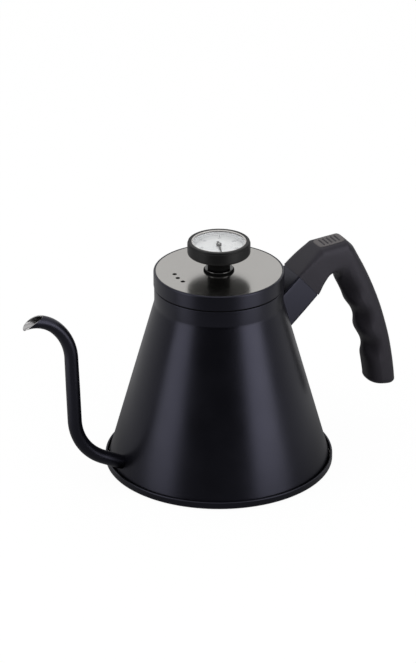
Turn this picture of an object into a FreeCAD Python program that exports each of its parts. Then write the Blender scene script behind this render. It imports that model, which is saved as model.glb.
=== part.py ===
import FreeCAD, Part

import math
import os

os.makedirs("parts", exist_ok=True)

# Gooseneck kettle with a dial thermometer for a lid knob.
# All sizes are in millimetres. The origin is the middle of the base where it stands, +Z is up,
# the spout points along -X and the handle along +X, so XZ is the mirror plane.

# Driving dimensions of the vessel
BASE_RADIUS = 75.0  # outside of the rolled base rim
RIM_BOTTOM = 0.5
RIM_TOP = 4.5
RIM_WALL = 1.4
RIM_TOP_ROUND = 0.6
RIM_BOTTOM_ROUND = 1.0
RIM_OVERHANG = 1.2  # of the base rim over the cone carried down to z = 0
COLLAR_RADIUS = 42.0
COLLAR_BOTTOM = 114.0
COLLAR_HEIGHT = 11.3
CREASE_ROUND = 6.0  # where the cone turns into the collar
SHELL_WALL = 0.8
HEM_WALL = 1.6  # the collar's folded lip
HEM_DEPTH = 3.0
PAN_WALL = 0.8
DISC_INSET = 13.0  # of the induction disc from the base rim
DISC_HEIGHT = 3.0
DISC_CHAMFER = 0.6
DISC_GAP = 0.4

# Driving dimensions of the spout, whose centreline lies in the XZ plane
SPOUT_RADIUS = 4.6
SPOUT_WALL = 0.6
SPOUT_ROOT_REACH = 8.5  # from the base rim to the end of the straight root
SPOUT_ROOT_HEIGHT = 18.9
SPOUT_ROOT_HEADING = 27.0  # degrees above the horizontal, going outward
SPOUT_ROOT_LENGTH = 25.0
SPOUT_RISER_HEADING = 88.0
SPOUT_RISER_LENGTH = 44.8
SPOUT_BENDS = {"lower": 36.0, "upper": 35.0, "crest": 25.0, "tip": 20.0}
SPOUT_TIP_HEADING = -30.0
SPOUT_CUT_TOP = (5.7, 3.8)  # the slanted cut of the beak, from its upper wall
SPOUT_CUT_LIP = (-5.3, -5.9)  # to its lower lip, both measured from the crest of the centreline

# Driving dimensions of the lid
GASKET_THICKNESS = 1.0  # the flange between collar and lid
GASKET_INSET = 0.5  # of the flange from the collar's outside
GASKET_WALL = 0.7
GASKET_DEPTH = 5.6
NECK_CLEARANCE = 0.3  # between gasket and collar
TURNING_FIT = 0.1  # between the gasket and the insert that turns in it
LID_OVERHANG = 0.4  # of the lid over the collar
LID_HEIGHT = 10.0
LID_WALL = 1.4
LID_LEDGE = 2.2  # width of the ledge under the steel plate
LID_EDGE_ROUND = 0.7
PLATE_THICKNESS = 1.0
PLATE_RECESS = 0.2
PLATE_EDGE_GAP = 0.1
INSERT_WALL = 0.6
INSERT_DEPTH = 7.8  # below the collar's top
VENT_RADIUS = 1.5
VENT_CIRCLE = 29.3
VENT_STEP = 12.4  # degrees between vents
VENT_COUNT = 3

# Driving dimensions of the thermometer that is the lid's knob
SLEEVE_RADIUS = 5.0
SLEEVE_HOLE = 5.1  # holes that the sleeve passes through
SLEEVE_BORE = 3.1
SLEEVE_HEAD_RADIUS = 8.0
SLEEVE_HEAD_HEIGHT = 1.4
SEAL_RADIUS = 10.0
SEAL_THICKNESS = 1.0
WASHER_RADIUS = 9.2
WASHER_THICKNESS = 0.8
STEM_RADIUS = 7.3
STEM_HEIGHT = 9.7
HOUSING_RADIUS = 20.4
HOUSING_HEIGHT = 7.9
HOUSING_FLOOR = 1.6
HOUSING_ROUND = 1.4
HOUSING_WALL = 1.6  # around the bore that takes dial, spacer and lens
GAUGE_FIT = 0.1
DIAL_LEDGE = 2.3  # width of the ledge that the dial lies on
DIAL_HEIGHT = 4.4  # underside of the dial above the housing's underside
DIAL_THICKNESS = 0.6
DIAL_HOLE = 1.2
SPACER_WALL = 1.1
SPACER_HEIGHT = 1.8
LENS_GASKET_HEIGHT = 0.4
LENS_THICKNESS = 1.2
BEZEL_INSET = 0.4  # of the bezel from the housing's outside
BEZEL_COVER = 1.4  # of the bezel's lip over the lens
BEZEL_LIP = 0.6
BEZEL_ROUND = 0.4
NUT_FLATS = 15.0
NUT_HEIGHT = 4.0
LOCK_WASHER_RADIUS = 8.5
LOCK_WASHER_THICKNESS = 0.8
SLEEVE_TAIL = 1.6  # thread showing below the nut
PROBE_RADIUS = 3.0
PROBE_BORE = 2.6
PROBE_END_ROUND = 2.1
PROBE_BOTTOM = 56.0
PROBE_PLUG_DEPTH = 4.0
BUSH_HEIGHT = 2.5
SHAFT_RADIUS = 0.6
SHAFT_RUNNING_FIT = 0.05
COIL_RADIUS = 1.7
COIL_WIRE = 0.3
COIL_PITCH = 2.0
COIL_TURNS = 14
POINTER_HUB_RADIUS = 1.7
POINTER_HUB_HEIGHT = 1.0
POINTER_THICKNESS = 0.4
POINTER_END_GAP = 3.6  # from the pointer's end to the spacer
POINTER_TAIL = 5.0
POINTER_WIDTH = 1.6
POINTER_CLEARANCE = 0.3
POINTER_REST = -17.0  # degrees from -Y at room temperature

# Driving dimensions of the handle, which follows a side outline in the XZ plane
# Its (x, z) points are measured from the foot of the collar on the handle's side
ARM_SLOPE = 42.0  # degrees above the horizontal
SEAM_INNER = (25.1, -4.6)  # the seam between bracket and grip, on the arm's underside
SEAM_DEPTH = 22.0
ARM_WIDTH = 23.0
BRACKET_STEP = 0.8  # the grip stands this much proud of the bracket
BRACKET_REACH = 45.0  # how far the bracket is carried back before the body trims it
BRACKET_ROOT_WIDTH = 26.0
ARM_CORNER = 4.5
GRIP_WIDTH = 22.0
GRIP_CORNER = 6.0
GRIP_BACK_TOP = (53.5, 22.0)  # three points of the arc along the grip's back
GRIP_BACK_MIDDLE = (74.6, -25.6)
GRIP_BACK_BOTTOM = (85.8, -83.0)
GRIP_DEPTH = 17.5
GRIP_DEPTH_LOSS = 1.4  # towards its lower end
GRIP_FIRST_SECTION = 15.0  # along the back, where the plain grip begins
GRIP_SECTION_COUNT = 20
FINGER_RECESS = 2.4
FINGER_PITCH = 26.5
FINGER_COUNT = 2  # recesses between ridges
FIRST_RIDGE = 34.0  # along the back
GRIP_END_ROUND = 3.0
GRIP_END_TURN = 75.0  # degrees of rounding at the grip's end
GRIP_END_SECTIONS = 3
GRIP_END_LEAN = 6.0  # how much higher the grip's end is on its inner side
PAD_START = (28.0, 25.9)
PAD_END = (47.5, 27.9)
THUMB_REST_SECTIONS = [  # from the seam round to the grip: inner point, outer point, width, corner radius
    ((30.6, 1.4), (18.6, 19.2), ARM_WIDTH, ARM_CORNER),
    ((34.8, 5.2), PAD_START, GRIP_WIDTH, ARM_CORNER),
    ((38.9, 6.3), (38.0, 27.0), GRIP_WIDTH, ARM_CORNER),
    ((42.0, 5.2), PAD_END, GRIP_WIDTH, ARM_CORNER),
    ((44.0, 2.8), (52.2, 23.4), GRIP_WIDTH, GRIP_CORNER),
]
PAD_WIDTH = 13.0
PAD_CORNER = 3.0
PAD_THICKNESS = 1.8
PAD_PROUD = 0.5
RIB_COUNT = 5
RIB_WIDTH = 1.2
RIB_HEIGHT = 0.5
RIB_LENGTH = 8.5
RIB_PITCH = 2.8
TONGUE_DEPTH = 5.0
TONGUE_WIDTH = 12.0
TONGUE_REACH = 16.0  # beyond the seam
TONGUE_FIT = 0.1
SCREW_RADIUS = 2.0
SCREW_HEAD_RADIUS = 3.6
SCREW_HEAD_HEIGHT = 2.2
SCREW_SINK = 2.4  # from the seam's lower edge to the head
SCREW_FIT = 0.1
SCREW_OFFSETS = (-9.0, 7.0)  # along the arm from the seam
CONTACT_GAP = 0.05  # between curved faces of one body
SAME_PLACE = 0.01  # points this near count as one

# Sizes that follow from the driving dimensions
CONE_RADIUS_AT_FLOOR = BASE_RADIUS - RIM_OVERHANG
CONE_TAPER = (CONE_RADIUS_AT_FLOOR - COLLAR_RADIUS) / COLLAR_BOTTOM
COLLAR_TOP = COLLAR_BOTTOM + COLLAR_HEIGHT
DISC_RADIUS = BASE_RADIUS - DISC_INSET
SPOUT_ROOT = (-BASE_RADIUS - SPOUT_ROOT_REACH, SPOUT_ROOT_HEIGHT)
GASKET_FLANGE_RADIUS = COLLAR_RADIUS - GASKET_INSET
GASKET_LIP_RADIUS = COLLAR_RADIUS - HEM_WALL - NECK_CLEARANCE
GASKET_BORE = GASKET_LIP_RADIUS - GASKET_WALL
INSERT_RADIUS = GASKET_BORE - TURNING_FIT
LID_RADIUS = COLLAR_RADIUS + LID_OVERHANG
PAN_FLOOR = DISC_HEIGHT + PAN_WALL
SHELL_FOOT = RIM_BOTTOM + PAN_WALL
LID_SEAT = COLLAR_TOP + GASKET_THICKNESS
LID_TOP = LID_SEAT + LID_HEIGHT
PLATE_TOP = LID_TOP - PLATE_RECESS
PLATE_BOTTOM = PLATE_TOP - PLATE_THICKNESS
SEAL_TOP = PLATE_TOP + SEAL_THICKNESS
WASHER_TOP = SEAL_TOP + WASHER_THICKNESS
HOUSING_BOTTOM = WASHER_TOP + STEM_HEIGHT
HOUSING_TOP = HOUSING_BOTTOM + HOUSING_HEIGHT
SLEEVE_SEAT = HOUSING_BOTTOM + HOUSING_FLOOR
SLEEVE_TOP = SLEEVE_SEAT + SLEEVE_HEAD_HEIGHT
NUT_TOP = PLATE_BOTTOM - LOCK_WASHER_THICKNESS
NUT_BOTTOM = NUT_TOP - NUT_HEIGHT
DIAL_BOTTOM = HOUSING_BOTTOM + DIAL_HEIGHT
DIAL_TOP = DIAL_BOTTOM + DIAL_THICKNESS
SPACER_TOP = DIAL_TOP + SPACER_HEIGHT
LENS_BOTTOM = SPACER_TOP + LENS_GASKET_HEIGHT
LENS_TOP = LENS_BOTTOM + LENS_THICKNESS
GAUGE_BORE = HOUSING_RADIUS - HOUSING_WALL
GAUGE_RADIUS = GAUGE_BORE - GAUGE_FIT
DIAL_LEDGE_RADIUS = GAUGE_BORE - DIAL_LEDGE
BEZEL_RADIUS = HOUSING_RADIUS - BEZEL_INSET
BEZEL_INNER_RADIUS = GAUGE_BORE - BEZEL_COVER
POINTER_LENGTH = GAUGE_RADIUS - SPACER_WALL - POINTER_END_GAP


def write(name, shape):
    """Write one node as a STEP file of its own."""
    shape.exportStep(os.path.join("parts", name + ".step"))
    print(name, len(shape.Solids), round(shape.Volume, 1), shape.isValid())


def turned(outline):
    """Turn a closed (radius, height) outline about the kettle's axis."""
    corners = [FreeCAD.Vector(radius, 0, height) for radius, height in outline]
    face = Part.Face(Part.makePolygon(corners + corners[:1]))
    return face.revolve(FreeCAD.Vector(0, 0, 0), FreeCAD.Vector(0, 0, 1), 360)


def disc(radius, bottom, top):
    """A plain disc about the axis between two heights."""
    return Part.makeCylinder(radius, top - bottom, FreeCAD.Vector(0, 0, bottom))


def ring(inner, outer, bottom, top):
    """A plain ring about the axis between two heights."""
    return disc(outer, bottom, top).cut(disc(inner, bottom, top))


def rounded(shape, size, rings):
    """Round the circular edges found at the given (radius, height) places."""
    edges = []
    for edge in shape.Edges:
        if not isinstance(edge.Curve, Part.Circle):
            continue
        place = (edge.Curve.Radius, edge.Curve.Center.z)
        if any(math.dist(place, wanted) < SAME_PLACE for wanted in rings):
            edges.append(edge)
    return shape.makeFillet(size, edges)


def side_point(place):
    """A point of the mirror plane from its (x, z) place."""
    return FreeCAD.Vector(place[0], 0, place[1])


def handle_point(place):
    """A point of the mirror plane from its (x, z) place measured from the collar's foot."""
    return FreeCAD.Vector(COLLAR_RADIUS + place[0], 0, COLLAR_BOTTOM + place[1])


def heading(degrees):
    """A unit vector in the mirror plane, turned up from +X."""
    return FreeCAD.Vector(math.cos(math.radians(degrees)), 0, math.sin(math.radians(degrees)))


def cone_radius(height):
    """Outside radius of the body's cone at a height."""
    return CONE_RADIUS_AT_FLOOR - CONE_TAPER * height


def body_filled(offset):
    """The body's outside with no hollow, grown by an offset, for trimming what meets it."""
    return turned([
        (0, 0),
        (cone_radius(0) + offset, 0),
        (COLLAR_RADIUS + offset, COLLAR_BOTTOM),
        (COLLAR_RADIUS + offset, COLLAR_TOP),
        (0, COLLAR_TOP),
    ])


# The vessel

def body_shell(spout_bore):
    """Tapered body with a straight collar and a folded lip, pierced for the spout."""
    inside = COLLAR_RADIUS - SHELL_WALL
    lip = COLLAR_RADIUS - HEM_WALL
    shell = turned([
        (cone_radius(SHELL_FOOT), SHELL_FOOT),
        (COLLAR_RADIUS, COLLAR_BOTTOM),
        (COLLAR_RADIUS, COLLAR_TOP),
        (lip, COLLAR_TOP),
        (lip, COLLAR_TOP - HEM_DEPTH),
        (inside, COLLAR_TOP - HEM_DEPTH),
        (inside, COLLAR_BOTTOM),
        (cone_radius(SHELL_FOOT) - SHELL_WALL, SHELL_FOOT),
    ])
    shell = rounded(shell, SHELL_WALL / 2, [(COLLAR_RADIUS, COLLAR_TOP), (lip, COLLAR_TOP)])
    shell = rounded(shell, CREASE_ROUND, [(COLLAR_RADIUS, COLLAR_BOTTOM), (inside, COLLAR_BOTTOM)])
    return shell.cut(spout_bore)


def base_pan():
    """Pressed floor with a trough for the body's foot and a rolled outer rim."""
    step = DISC_RADIUS + DISC_GAP
    pan = turned([
        (0, DISC_HEIGHT),
        (step, DISC_HEIGHT),
        (step, RIM_BOTTOM),
        (BASE_RADIUS, RIM_BOTTOM),
        (BASE_RADIUS, RIM_TOP),
        (BASE_RADIUS - RIM_WALL, RIM_TOP),
        (BASE_RADIUS - RIM_WALL, SHELL_FOOT),
        (step + PAN_WALL, SHELL_FOOT),
        (step + PAN_WALL, PAN_FLOOR),
        (0, PAN_FLOOR),
    ])
    pan = rounded(pan, RIM_TOP_ROUND, [(BASE_RADIUS, RIM_TOP), (BASE_RADIUS - RIM_WALL, RIM_TOP)])
    return rounded(pan, RIM_BOTTOM_ROUND, [(BASE_RADIUS, RIM_BOTTOM)])


def induction_disc():
    """Magnetic steel disc under the floor, on which the kettle stands."""
    plate = disc(DISC_RADIUS, 0, DISC_HEIGHT)
    lower = [edge for edge in plate.Edges if edge.BoundBox.ZMax < DISC_CHAMFER]
    return plate.makeChamfer(DISC_CHAMFER, lower)


# The spout

def bend(start, start_heading, end_heading, radius):
    """An arc in the mirror plane, going outward along -X, with its end point."""
    turn = 1 if end_heading > start_heading else -1

    def place(degrees):
        away = FreeCAD.Vector(math.sin(math.radians(degrees)), 0, math.cos(math.radians(degrees)))
        return centre - away * (turn * radius)

    first = FreeCAD.Vector(math.sin(math.radians(start_heading)), 0, math.cos(math.radians(start_heading)))
    centre = start + first * (turn * radius)
    end = place(end_heading)
    return Part.Arc(start, place((start_heading + end_heading) / 2), end).toShape(), end


def spout_path():
    """Centreline of the spout from inside the body to past the tip, and its highest point."""
    out = heading(180 - SPOUT_ROOT_HEADING)
    root_end = side_point(SPOUT_ROOT)
    root = Part.makeLine(root_end - out * SPOUT_ROOT_LENGTH, root_end)
    lower, riser_foot = bend(root_end, SPOUT_ROOT_HEADING, SPOUT_RISER_HEADING, SPOUT_BENDS["lower"])
    riser_top = riser_foot + heading(180 - SPOUT_RISER_HEADING) * SPOUT_RISER_LENGTH
    upper, shoulder = bend(riser_top, SPOUT_RISER_HEADING, SPOUT_RISER_HEADING / 2, SPOUT_BENDS["upper"])
    over, crest = bend(shoulder, SPOUT_RISER_HEADING / 2, 0, SPOUT_BENDS["crest"])
    tip, _ = bend(crest, 0, SPOUT_TIP_HEADING, SPOUT_BENDS["tip"])
    return Part.Wire([root, lower, Part.makeLine(riser_foot, riser_top), upper, over, tip]), crest


def spout_sweep(path, radius):
    """A round bar of a radius along the spout's centreline."""
    start = path.Edges[0].Vertexes[0].Point
    circle = Part.makeCircle(radius, start, path.Edges[0].tangentAt(path.Edges[0].FirstParameter))
    return path.makePipeShell([Part.Wire(circle)], True, False)


def spout_tube(outer, bore, crest):
    """Swan-necked tube butted on the body, its tip cut on a slant to a pouring beak."""
    tube = outer.cut(bore).cut(body_filled(CONTACT_GAP))
    top = crest + side_point(SPOUT_CUT_TOP)
    lip = crest + side_point(SPOUT_CUT_LIP)
    along = (lip - top).normalize()
    across = FreeCAD.Vector(along.z, 0, -along.x)
    reach = SPOUT_RADIUS * 8
    start = top - along * reach
    end = lip + along * reach
    corners = [start, end, end + across * reach, start + across * reach]
    face = Part.Face(Part.makePolygon(corners + corners[:1]))
    face.translate(FreeCAD.Vector(0, -reach, 0))
    return tube.cut(face.extrude(FreeCAD.Vector(0, 2 * reach, 0)))


# The lid

def lid_gasket():
    """Silicone seal: a flange on the collar and a sleeve down into the neck."""
    return turned([
        (GASKET_BORE, LID_SEAT),
        (GASKET_FLANGE_RADIUS, LID_SEAT),
        (GASKET_FLANGE_RADIUS, COLLAR_TOP),
        (GASKET_LIP_RADIUS, COLLAR_TOP),
        (GASKET_LIP_RADIUS, COLLAR_TOP - GASKET_DEPTH),
        (GASKET_BORE, COLLAR_TOP - GASKET_DEPTH),
    ])


def lid_skirt():
    """Coated rim of the lid, with a web on the gasket and a ledge under the plate."""
    inside = LID_RADIUS - LID_WALL
    web_top = LID_SEAT + PLATE_THICKNESS
    ledge_bottom = PLATE_BOTTOM - PLATE_THICKNESS
    skirt = turned([
        (GASKET_BORE, LID_SEAT),
        (LID_RADIUS, LID_SEAT),
        (LID_RADIUS, LID_TOP),
        (inside, LID_TOP),
        (inside, PLATE_BOTTOM),
        (inside - LID_LEDGE, PLATE_BOTTOM),
        (inside - LID_LEDGE, ledge_bottom),
        (inside, ledge_bottom),
        (inside, web_top),
        (GASKET_BORE, web_top),
    ])
    return rounded(skirt, LID_EDGE_ROUND, [(LID_RADIUS, LID_TOP)])


def vents(bottom, top):
    """The steam holes, fanned about the spout's direction."""
    holes = []
    for index in range(VENT_COUNT):
        angle = math.radians(180 + VENT_STEP * (index - (VENT_COUNT - 1) / 2))
        place = FreeCAD.Vector(VENT_CIRCLE * math.cos(angle), VENT_CIRCLE * math.sin(angle), bottom)
        holes.append(Part.makeCylinder(VENT_RADIUS, top - bottom, place))
    return Part.makeCompound(holes)


def lid_plate():
    """Brushed steel top plate, pierced for the sleeve and the vents."""
    edge = LID_RADIUS - LID_WALL - PLATE_EDGE_GAP
    plate = ring(SLEEVE_HOLE, edge, PLATE_BOTTOM, PLATE_TOP)
    return plate.cut(vents(PLATE_BOTTOM, PLATE_TOP))


def lid_insert():
    """Steel cup under the lid that plugs the neck, flanged over the skirt's web."""
    floor = COLLAR_TOP - INSERT_DEPTH
    flange = LID_SEAT + PLATE_THICKNESS
    cup = turned([
        (SLEEVE_HOLE, floor),
        (INSERT_RADIUS, floor),
        (INSERT_RADIUS, flange),
        (LID_RADIUS - LID_WALL - PLATE_EDGE_GAP, flange),
        (LID_RADIUS - LID_WALL - PLATE_EDGE_GAP, flange + INSERT_WALL),
        (INSERT_RADIUS - INSERT_WALL, flange + INSERT_WALL),
        (INSERT_RADIUS - INSERT_WALL, floor + INSERT_WALL),
        (SLEEVE_HOLE, floor + INSERT_WALL),
    ])
    return cup.cut(vents(floor, floor + INSERT_WALL))


# The thermometer

def gauge_housing():
    """Round black knob: a cup with a ledge that carries the dial."""
    cup = turned([
        (SLEEVE_HOLE, HOUSING_BOTTOM),
        (HOUSING_RADIUS, HOUSING_BOTTOM),
        (HOUSING_RADIUS, HOUSING_TOP),
        (GAUGE_BORE, HOUSING_TOP),
        (GAUGE_BORE, DIAL_BOTTOM),
        (DIAL_LEDGE_RADIUS, DIAL_BOTTOM),
        (DIAL_LEDGE_RADIUS, SLEEVE_SEAT),
        (SLEEVE_HOLE, SLEEVE_SEAT),
    ])
    return rounded(cup, HOUSING_ROUND, [(HOUSING_RADIUS, HOUSING_BOTTOM)])


def gauge_bezel():
    """Polished ring on the housing that holds the lens down."""
    bezel = turned([
        (BEZEL_RADIUS, HOUSING_TOP),
        (BEZEL_RADIUS, LENS_TOP + BEZEL_LIP),
        (BEZEL_INNER_RADIUS, LENS_TOP + BEZEL_LIP),
        (BEZEL_INNER_RADIUS, LENS_TOP),
        (GAUGE_BORE, LENS_TOP),
        (GAUGE_BORE, HOUSING_TOP),
    ])
    edges = [(BEZEL_RADIUS, LENS_TOP + BEZEL_LIP), (BEZEL_INNER_RADIUS, LENS_TOP + BEZEL_LIP)]
    return rounded(bezel, BEZEL_ROUND, edges)


def gauge_sleeve():
    """Flanged threaded sleeve that clamps housing, stem and lid plate together."""
    bottom = NUT_BOTTOM - SLEEVE_TAIL
    sleeve = ring(SLEEVE_BORE, SLEEVE_RADIUS, bottom, SLEEVE_SEAT)
    return sleeve.fuse(ring(SLEEVE_BORE, SLEEVE_HEAD_RADIUS, SLEEVE_SEAT, SLEEVE_TOP)).removeSplitter()


def sleeve_nut():
    """Hexagon nut under the lid plate."""
    corner = NUT_FLATS / 2 / math.cos(math.radians(30))
    points = []
    for index in range(6):
        angle = math.radians(60 * index)
        points.append(FreeCAD.Vector(corner * math.cos(angle), corner * math.sin(angle), NUT_BOTTOM))
    block = Part.Face(Part.makePolygon(points + points[:1])).extrude(FreeCAD.Vector(0, 0, NUT_HEIGHT))
    return block.cut(disc(SLEEVE_HOLE, NUT_BOTTOM, NUT_TOP))


def probe_tip():
    """Rounded plug that closes the probe's lower end and anchors the coil."""
    cap = disc(PROBE_RADIUS, PROBE_BOTTOM - PROBE_RADIUS, PROBE_BOTTOM)
    cap = rounded(cap, PROBE_END_ROUND, [(PROBE_RADIUS, PROBE_BOTTOM - PROBE_RADIUS)])
    return cap.fuse(disc(PROBE_BORE, PROBE_BOTTOM, PROBE_BOTTOM + PROBE_PLUG_DEPTH)).removeSplitter()


def bimetal_coil():
    """Helical temperature element standing on the plug, round the pointer's shaft."""
    foot = PROBE_BOTTOM + PROBE_PLUG_DEPTH + COIL_WIRE
    helix = Part.makeHelix(COIL_PITCH, COIL_PITCH * COIL_TURNS, COIL_RADIUS)
    helix.translate(FreeCAD.Vector(0, 0, foot))
    start = FreeCAD.Vector(COIL_RADIUS, 0, foot)
    circle = Part.makeCircle(COIL_WIRE, start, FreeCAD.Vector(0, 1, 0))
    return Part.Wire(helix.Edges).makePipeShell([Part.Wire(circle)], True, True)


def pointer_hand():
    """Thin tapered hand with a round hub."""
    bottom = DIAL_TOP + POINTER_CLEARANCE
    hub = ring(SHAFT_RADIUS, POINTER_HUB_RADIUS, bottom, bottom + POINTER_HUB_HEIGHT)
    half = POINTER_WIDTH / 2
    outline = [
        FreeCAD.Vector(-half, POINTER_TAIL, bottom),
        FreeCAD.Vector(half, POINTER_TAIL, bottom),
        FreeCAD.Vector(half / 4, -POINTER_LENGTH, bottom),
        FreeCAD.Vector(-half / 4, -POINTER_LENGTH, bottom),
    ]
    face = Part.Face(Part.makePolygon(outline + outline[:1]))
    blade = face.extrude(FreeCAD.Vector(0, 0, POINTER_THICKNESS))
    blade = blade.cut(disc(SHAFT_RADIUS, bottom, bottom + POINTER_THICKNESS))
    hand = hub.fuse(blade).removeSplitter()
    hand.rotate(FreeCAD.Vector(0, 0, 0), FreeCAD.Vector(0, 0, 1), POINTER_REST)
    return hand


# The handle

def handle_section(inner, outer, width, corner):
    """A rounded rectangle across the handle, from its inner to its outer edge point."""
    depth = (outer - inner).Length
    along = (outer - inner).normalize()
    side = FreeCAD.Vector(0, 1, 0)
    middle = inner + along * (depth / 2)

    def place(a, b):
        return middle + along * a + side * b

    a = depth / 2
    b = width / 2
    bite = corner * (1 - math.sqrt(0.5))
    edges = []
    for sign_a, sign_b in ((1, 1), (-1, 1), (-1, -1), (1, -1)):
        on_side = place(sign_a * (a - corner), sign_b * b)
        on_end = place(sign_a * a, sign_b * (b - corner))
        middle_arc = place(sign_a * (a - bite), sign_b * (b - bite))
        if sign_a * sign_b > 0:
            edges.append((on_end, middle_arc, on_side))
        else:
            edges.append((on_side, middle_arc, on_end))
    wire = []
    for index, (first, middle_arc, last) in enumerate(edges):
        following = edges[(index + 1) % len(edges)][0]
        wire.append(Part.Arc(first, middle_arc, last).toShape())
        wire.append(Part.makeLine(last, following))
    return Part.Wire(wire)


def arm_block(depth, width, start, length):
    """A square-edged bar along the arm, measured from the seam, about the arm's middle."""
    along = heading(ARM_SLOPE)
    up = heading(ARM_SLOPE + 90)
    middle = handle_point(SEAM_INNER) + up * (SEAM_DEPTH / 2) + along * start
    corners = []
    for sign_up, sign_side in ((-1, -1), (1, -1), (1, 1), (-1, 1)):
        corners.append(middle + up * (sign_up * depth / 2) + FreeCAD.Vector(0, sign_side * width / 2, 0))
    return Part.Face(Part.makePolygon(corners + corners[:1])).extrude(along * length)


def handle_bracket(tongue, screws):
    """Coated stub between the body and the grip."""
    along = heading(ARM_SLOPE)
    up = heading(ARM_SLOPE + 90)
    sections = []
    for back, width in ((0, ARM_WIDTH), (BRACKET_REACH, BRACKET_ROOT_WIDTH)):
        foot = handle_point(SEAM_INNER) + up * BRACKET_STEP - along * back
        head = foot + up * (SEAM_DEPTH - 2 * BRACKET_STEP)
        sections.append(handle_section(foot, head, width - 2 * BRACKET_STEP, ARM_CORNER - BRACKET_STEP))
    stub = Part.makeLoft(sections, True, True)
    return stub.cut(body_filled(CONTACT_GAP)).cut(tongue).cut(screws)


def grip_sections():
    """Sections of the grip: along the arm, round the thumb rest and down the back's arc."""
    seam = handle_point(SEAM_INNER)
    wires = [handle_section(seam, seam + heading(ARM_SLOPE + 90) * SEAM_DEPTH, ARM_WIDTH, ARM_CORNER)]
    for inner, outer, width, corner in THUMB_REST_SECTIONS:
        wires.append(handle_section(handle_point(inner), handle_point(outer), width, corner))
    arc = Part.Arc(*[handle_point(p) for p in (GRIP_BACK_TOP, GRIP_BACK_MIDDLE, GRIP_BACK_BOTTOM)]).toShape()
    centre = arc.Curve.Center
    backward = arc.valueAt(arc.FirstParameter).z < arc.valueAt(arc.LastParameter).z
    run = arc.Length - GRIP_FIRST_SECTION
    step = (run - GRIP_END_ROUND) / (GRIP_SECTION_COUNT - 1)
    places = [GRIP_FIRST_SECTION + step * index for index in range(GRIP_SECTION_COUNT)]
    tucks = [0.0] * GRIP_SECTION_COUNT
    for index in range(1, GRIP_END_SECTIONS + 1):
        turn = math.radians(GRIP_END_TURN * index / GRIP_END_SECTIONS)
        places.append(arc.Length - GRIP_END_ROUND * (1 - math.sin(turn)))
        tucks.append(GRIP_END_ROUND * (1 - math.cos(turn)))
    for place, tuck in zip(places, tucks):
        back = arc.valueAt(arc.getParameterByLength(arc.Length - place if backward else place))
        inward = (centre - back).normalize()
        fingers = (place - FIRST_RIDGE) / FINGER_PITCH
        gripped = 0 < fingers < FINGER_COUNT
        recess = FINGER_RECESS * (1 - math.cos(2 * math.pi * fingers)) / 2 if gripped else 0
        share = (place - GRIP_FIRST_SECTION) / run
        depth = GRIP_DEPTH - GRIP_DEPTH_LOSS * share - recess
        outer = back + inward * tuck
        upward = FreeCAD.Vector(inward.z, 0, -inward.x)
        inner = back + inward * (depth - tuck) + upward * (GRIP_END_LEAN * share ** 3)
        corner = GRIP_CORNER - tuck / 2
        wires.append(handle_section(inner, outer, GRIP_WIDTH - 2 * tuck, corner))
    return wires


def handle_grip(pad, tongue_room, screw_room):
    """Moulded grip, hollowed for the tongue, the screws and the thumb pad."""
    grip = Part.makeLoft(grip_sections(), True, True)
    return grip.cut(tongue_room).cut(screw_room).cut(pad)


def pad_frame():
    """Placement of the thumb pad: X along it, Z out of the grip."""
    start = handle_point(PAD_START)
    end = handle_point(PAD_END)
    tilt = math.degrees(math.atan2(end.z - start.z, end.x - start.x))
    turn = FreeCAD.Rotation(FreeCAD.Vector(0, 1, 0), -tilt)
    return FreeCAD.Placement((start + end) * 0.5, turn), (end - start).Length


def thumb_pad():
    """Soft ribbed pad let into the top of the grip."""
    placement, length = pad_frame()
    plate = Part.makeBox(length, PAD_WIDTH, PAD_THICKNESS)
    plate.translate(FreeCAD.Vector(-length / 2, -PAD_WIDTH / 2, PAD_PROUD - PAD_THICKNESS))
    upright = [edge for edge in plate.Edges if edge.BoundBox.ZLength > PAD_THICKNESS / 2]
    plate = plate.makeFillet(PAD_CORNER, upright)
    plain = plate.copy()
    for index in range(RIB_COUNT):
        middle = (index - (RIB_COUNT - 1) / 2) * RIB_PITCH
        rib = Part.makeBox(RIB_WIDTH, RIB_LENGTH, RIB_HEIGHT)
        rib.translate(FreeCAD.Vector(middle - RIB_WIDTH / 2, -RIB_LENGTH / 2, PAD_PROUD))
        plate = plate.fuse(rib)
    plate.Placement = placement
    plain.Placement = placement
    return plate.removeSplitter(), plain


def handle_screws(fit):
    """Two screws from the arm's underside into the tongue, or the room for them."""
    along = heading(ARM_SLOPE)
    up = heading(ARM_SLOPE + 90)
    solids = []
    for offset in SCREW_OFFSETS:
        middle = handle_point(SEAM_INNER) + along * offset
        shank_top = SEAM_DEPTH / 2 + TONGUE_DEPTH / 2
        head_top = SCREW_SINK + SCREW_HEAD_HEIGHT
        reach = -SCREW_SINK if fit else SCREW_SINK
        head = Part.makeCylinder(SCREW_HEAD_RADIUS + fit, head_top - reach, middle + up * reach, up)
        shank = Part.makeCylinder(SCREW_RADIUS + fit, shank_top - head_top, middle + up * head_top, up)
        solids.append(head.fuse(shank).removeSplitter())
    return solids


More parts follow.
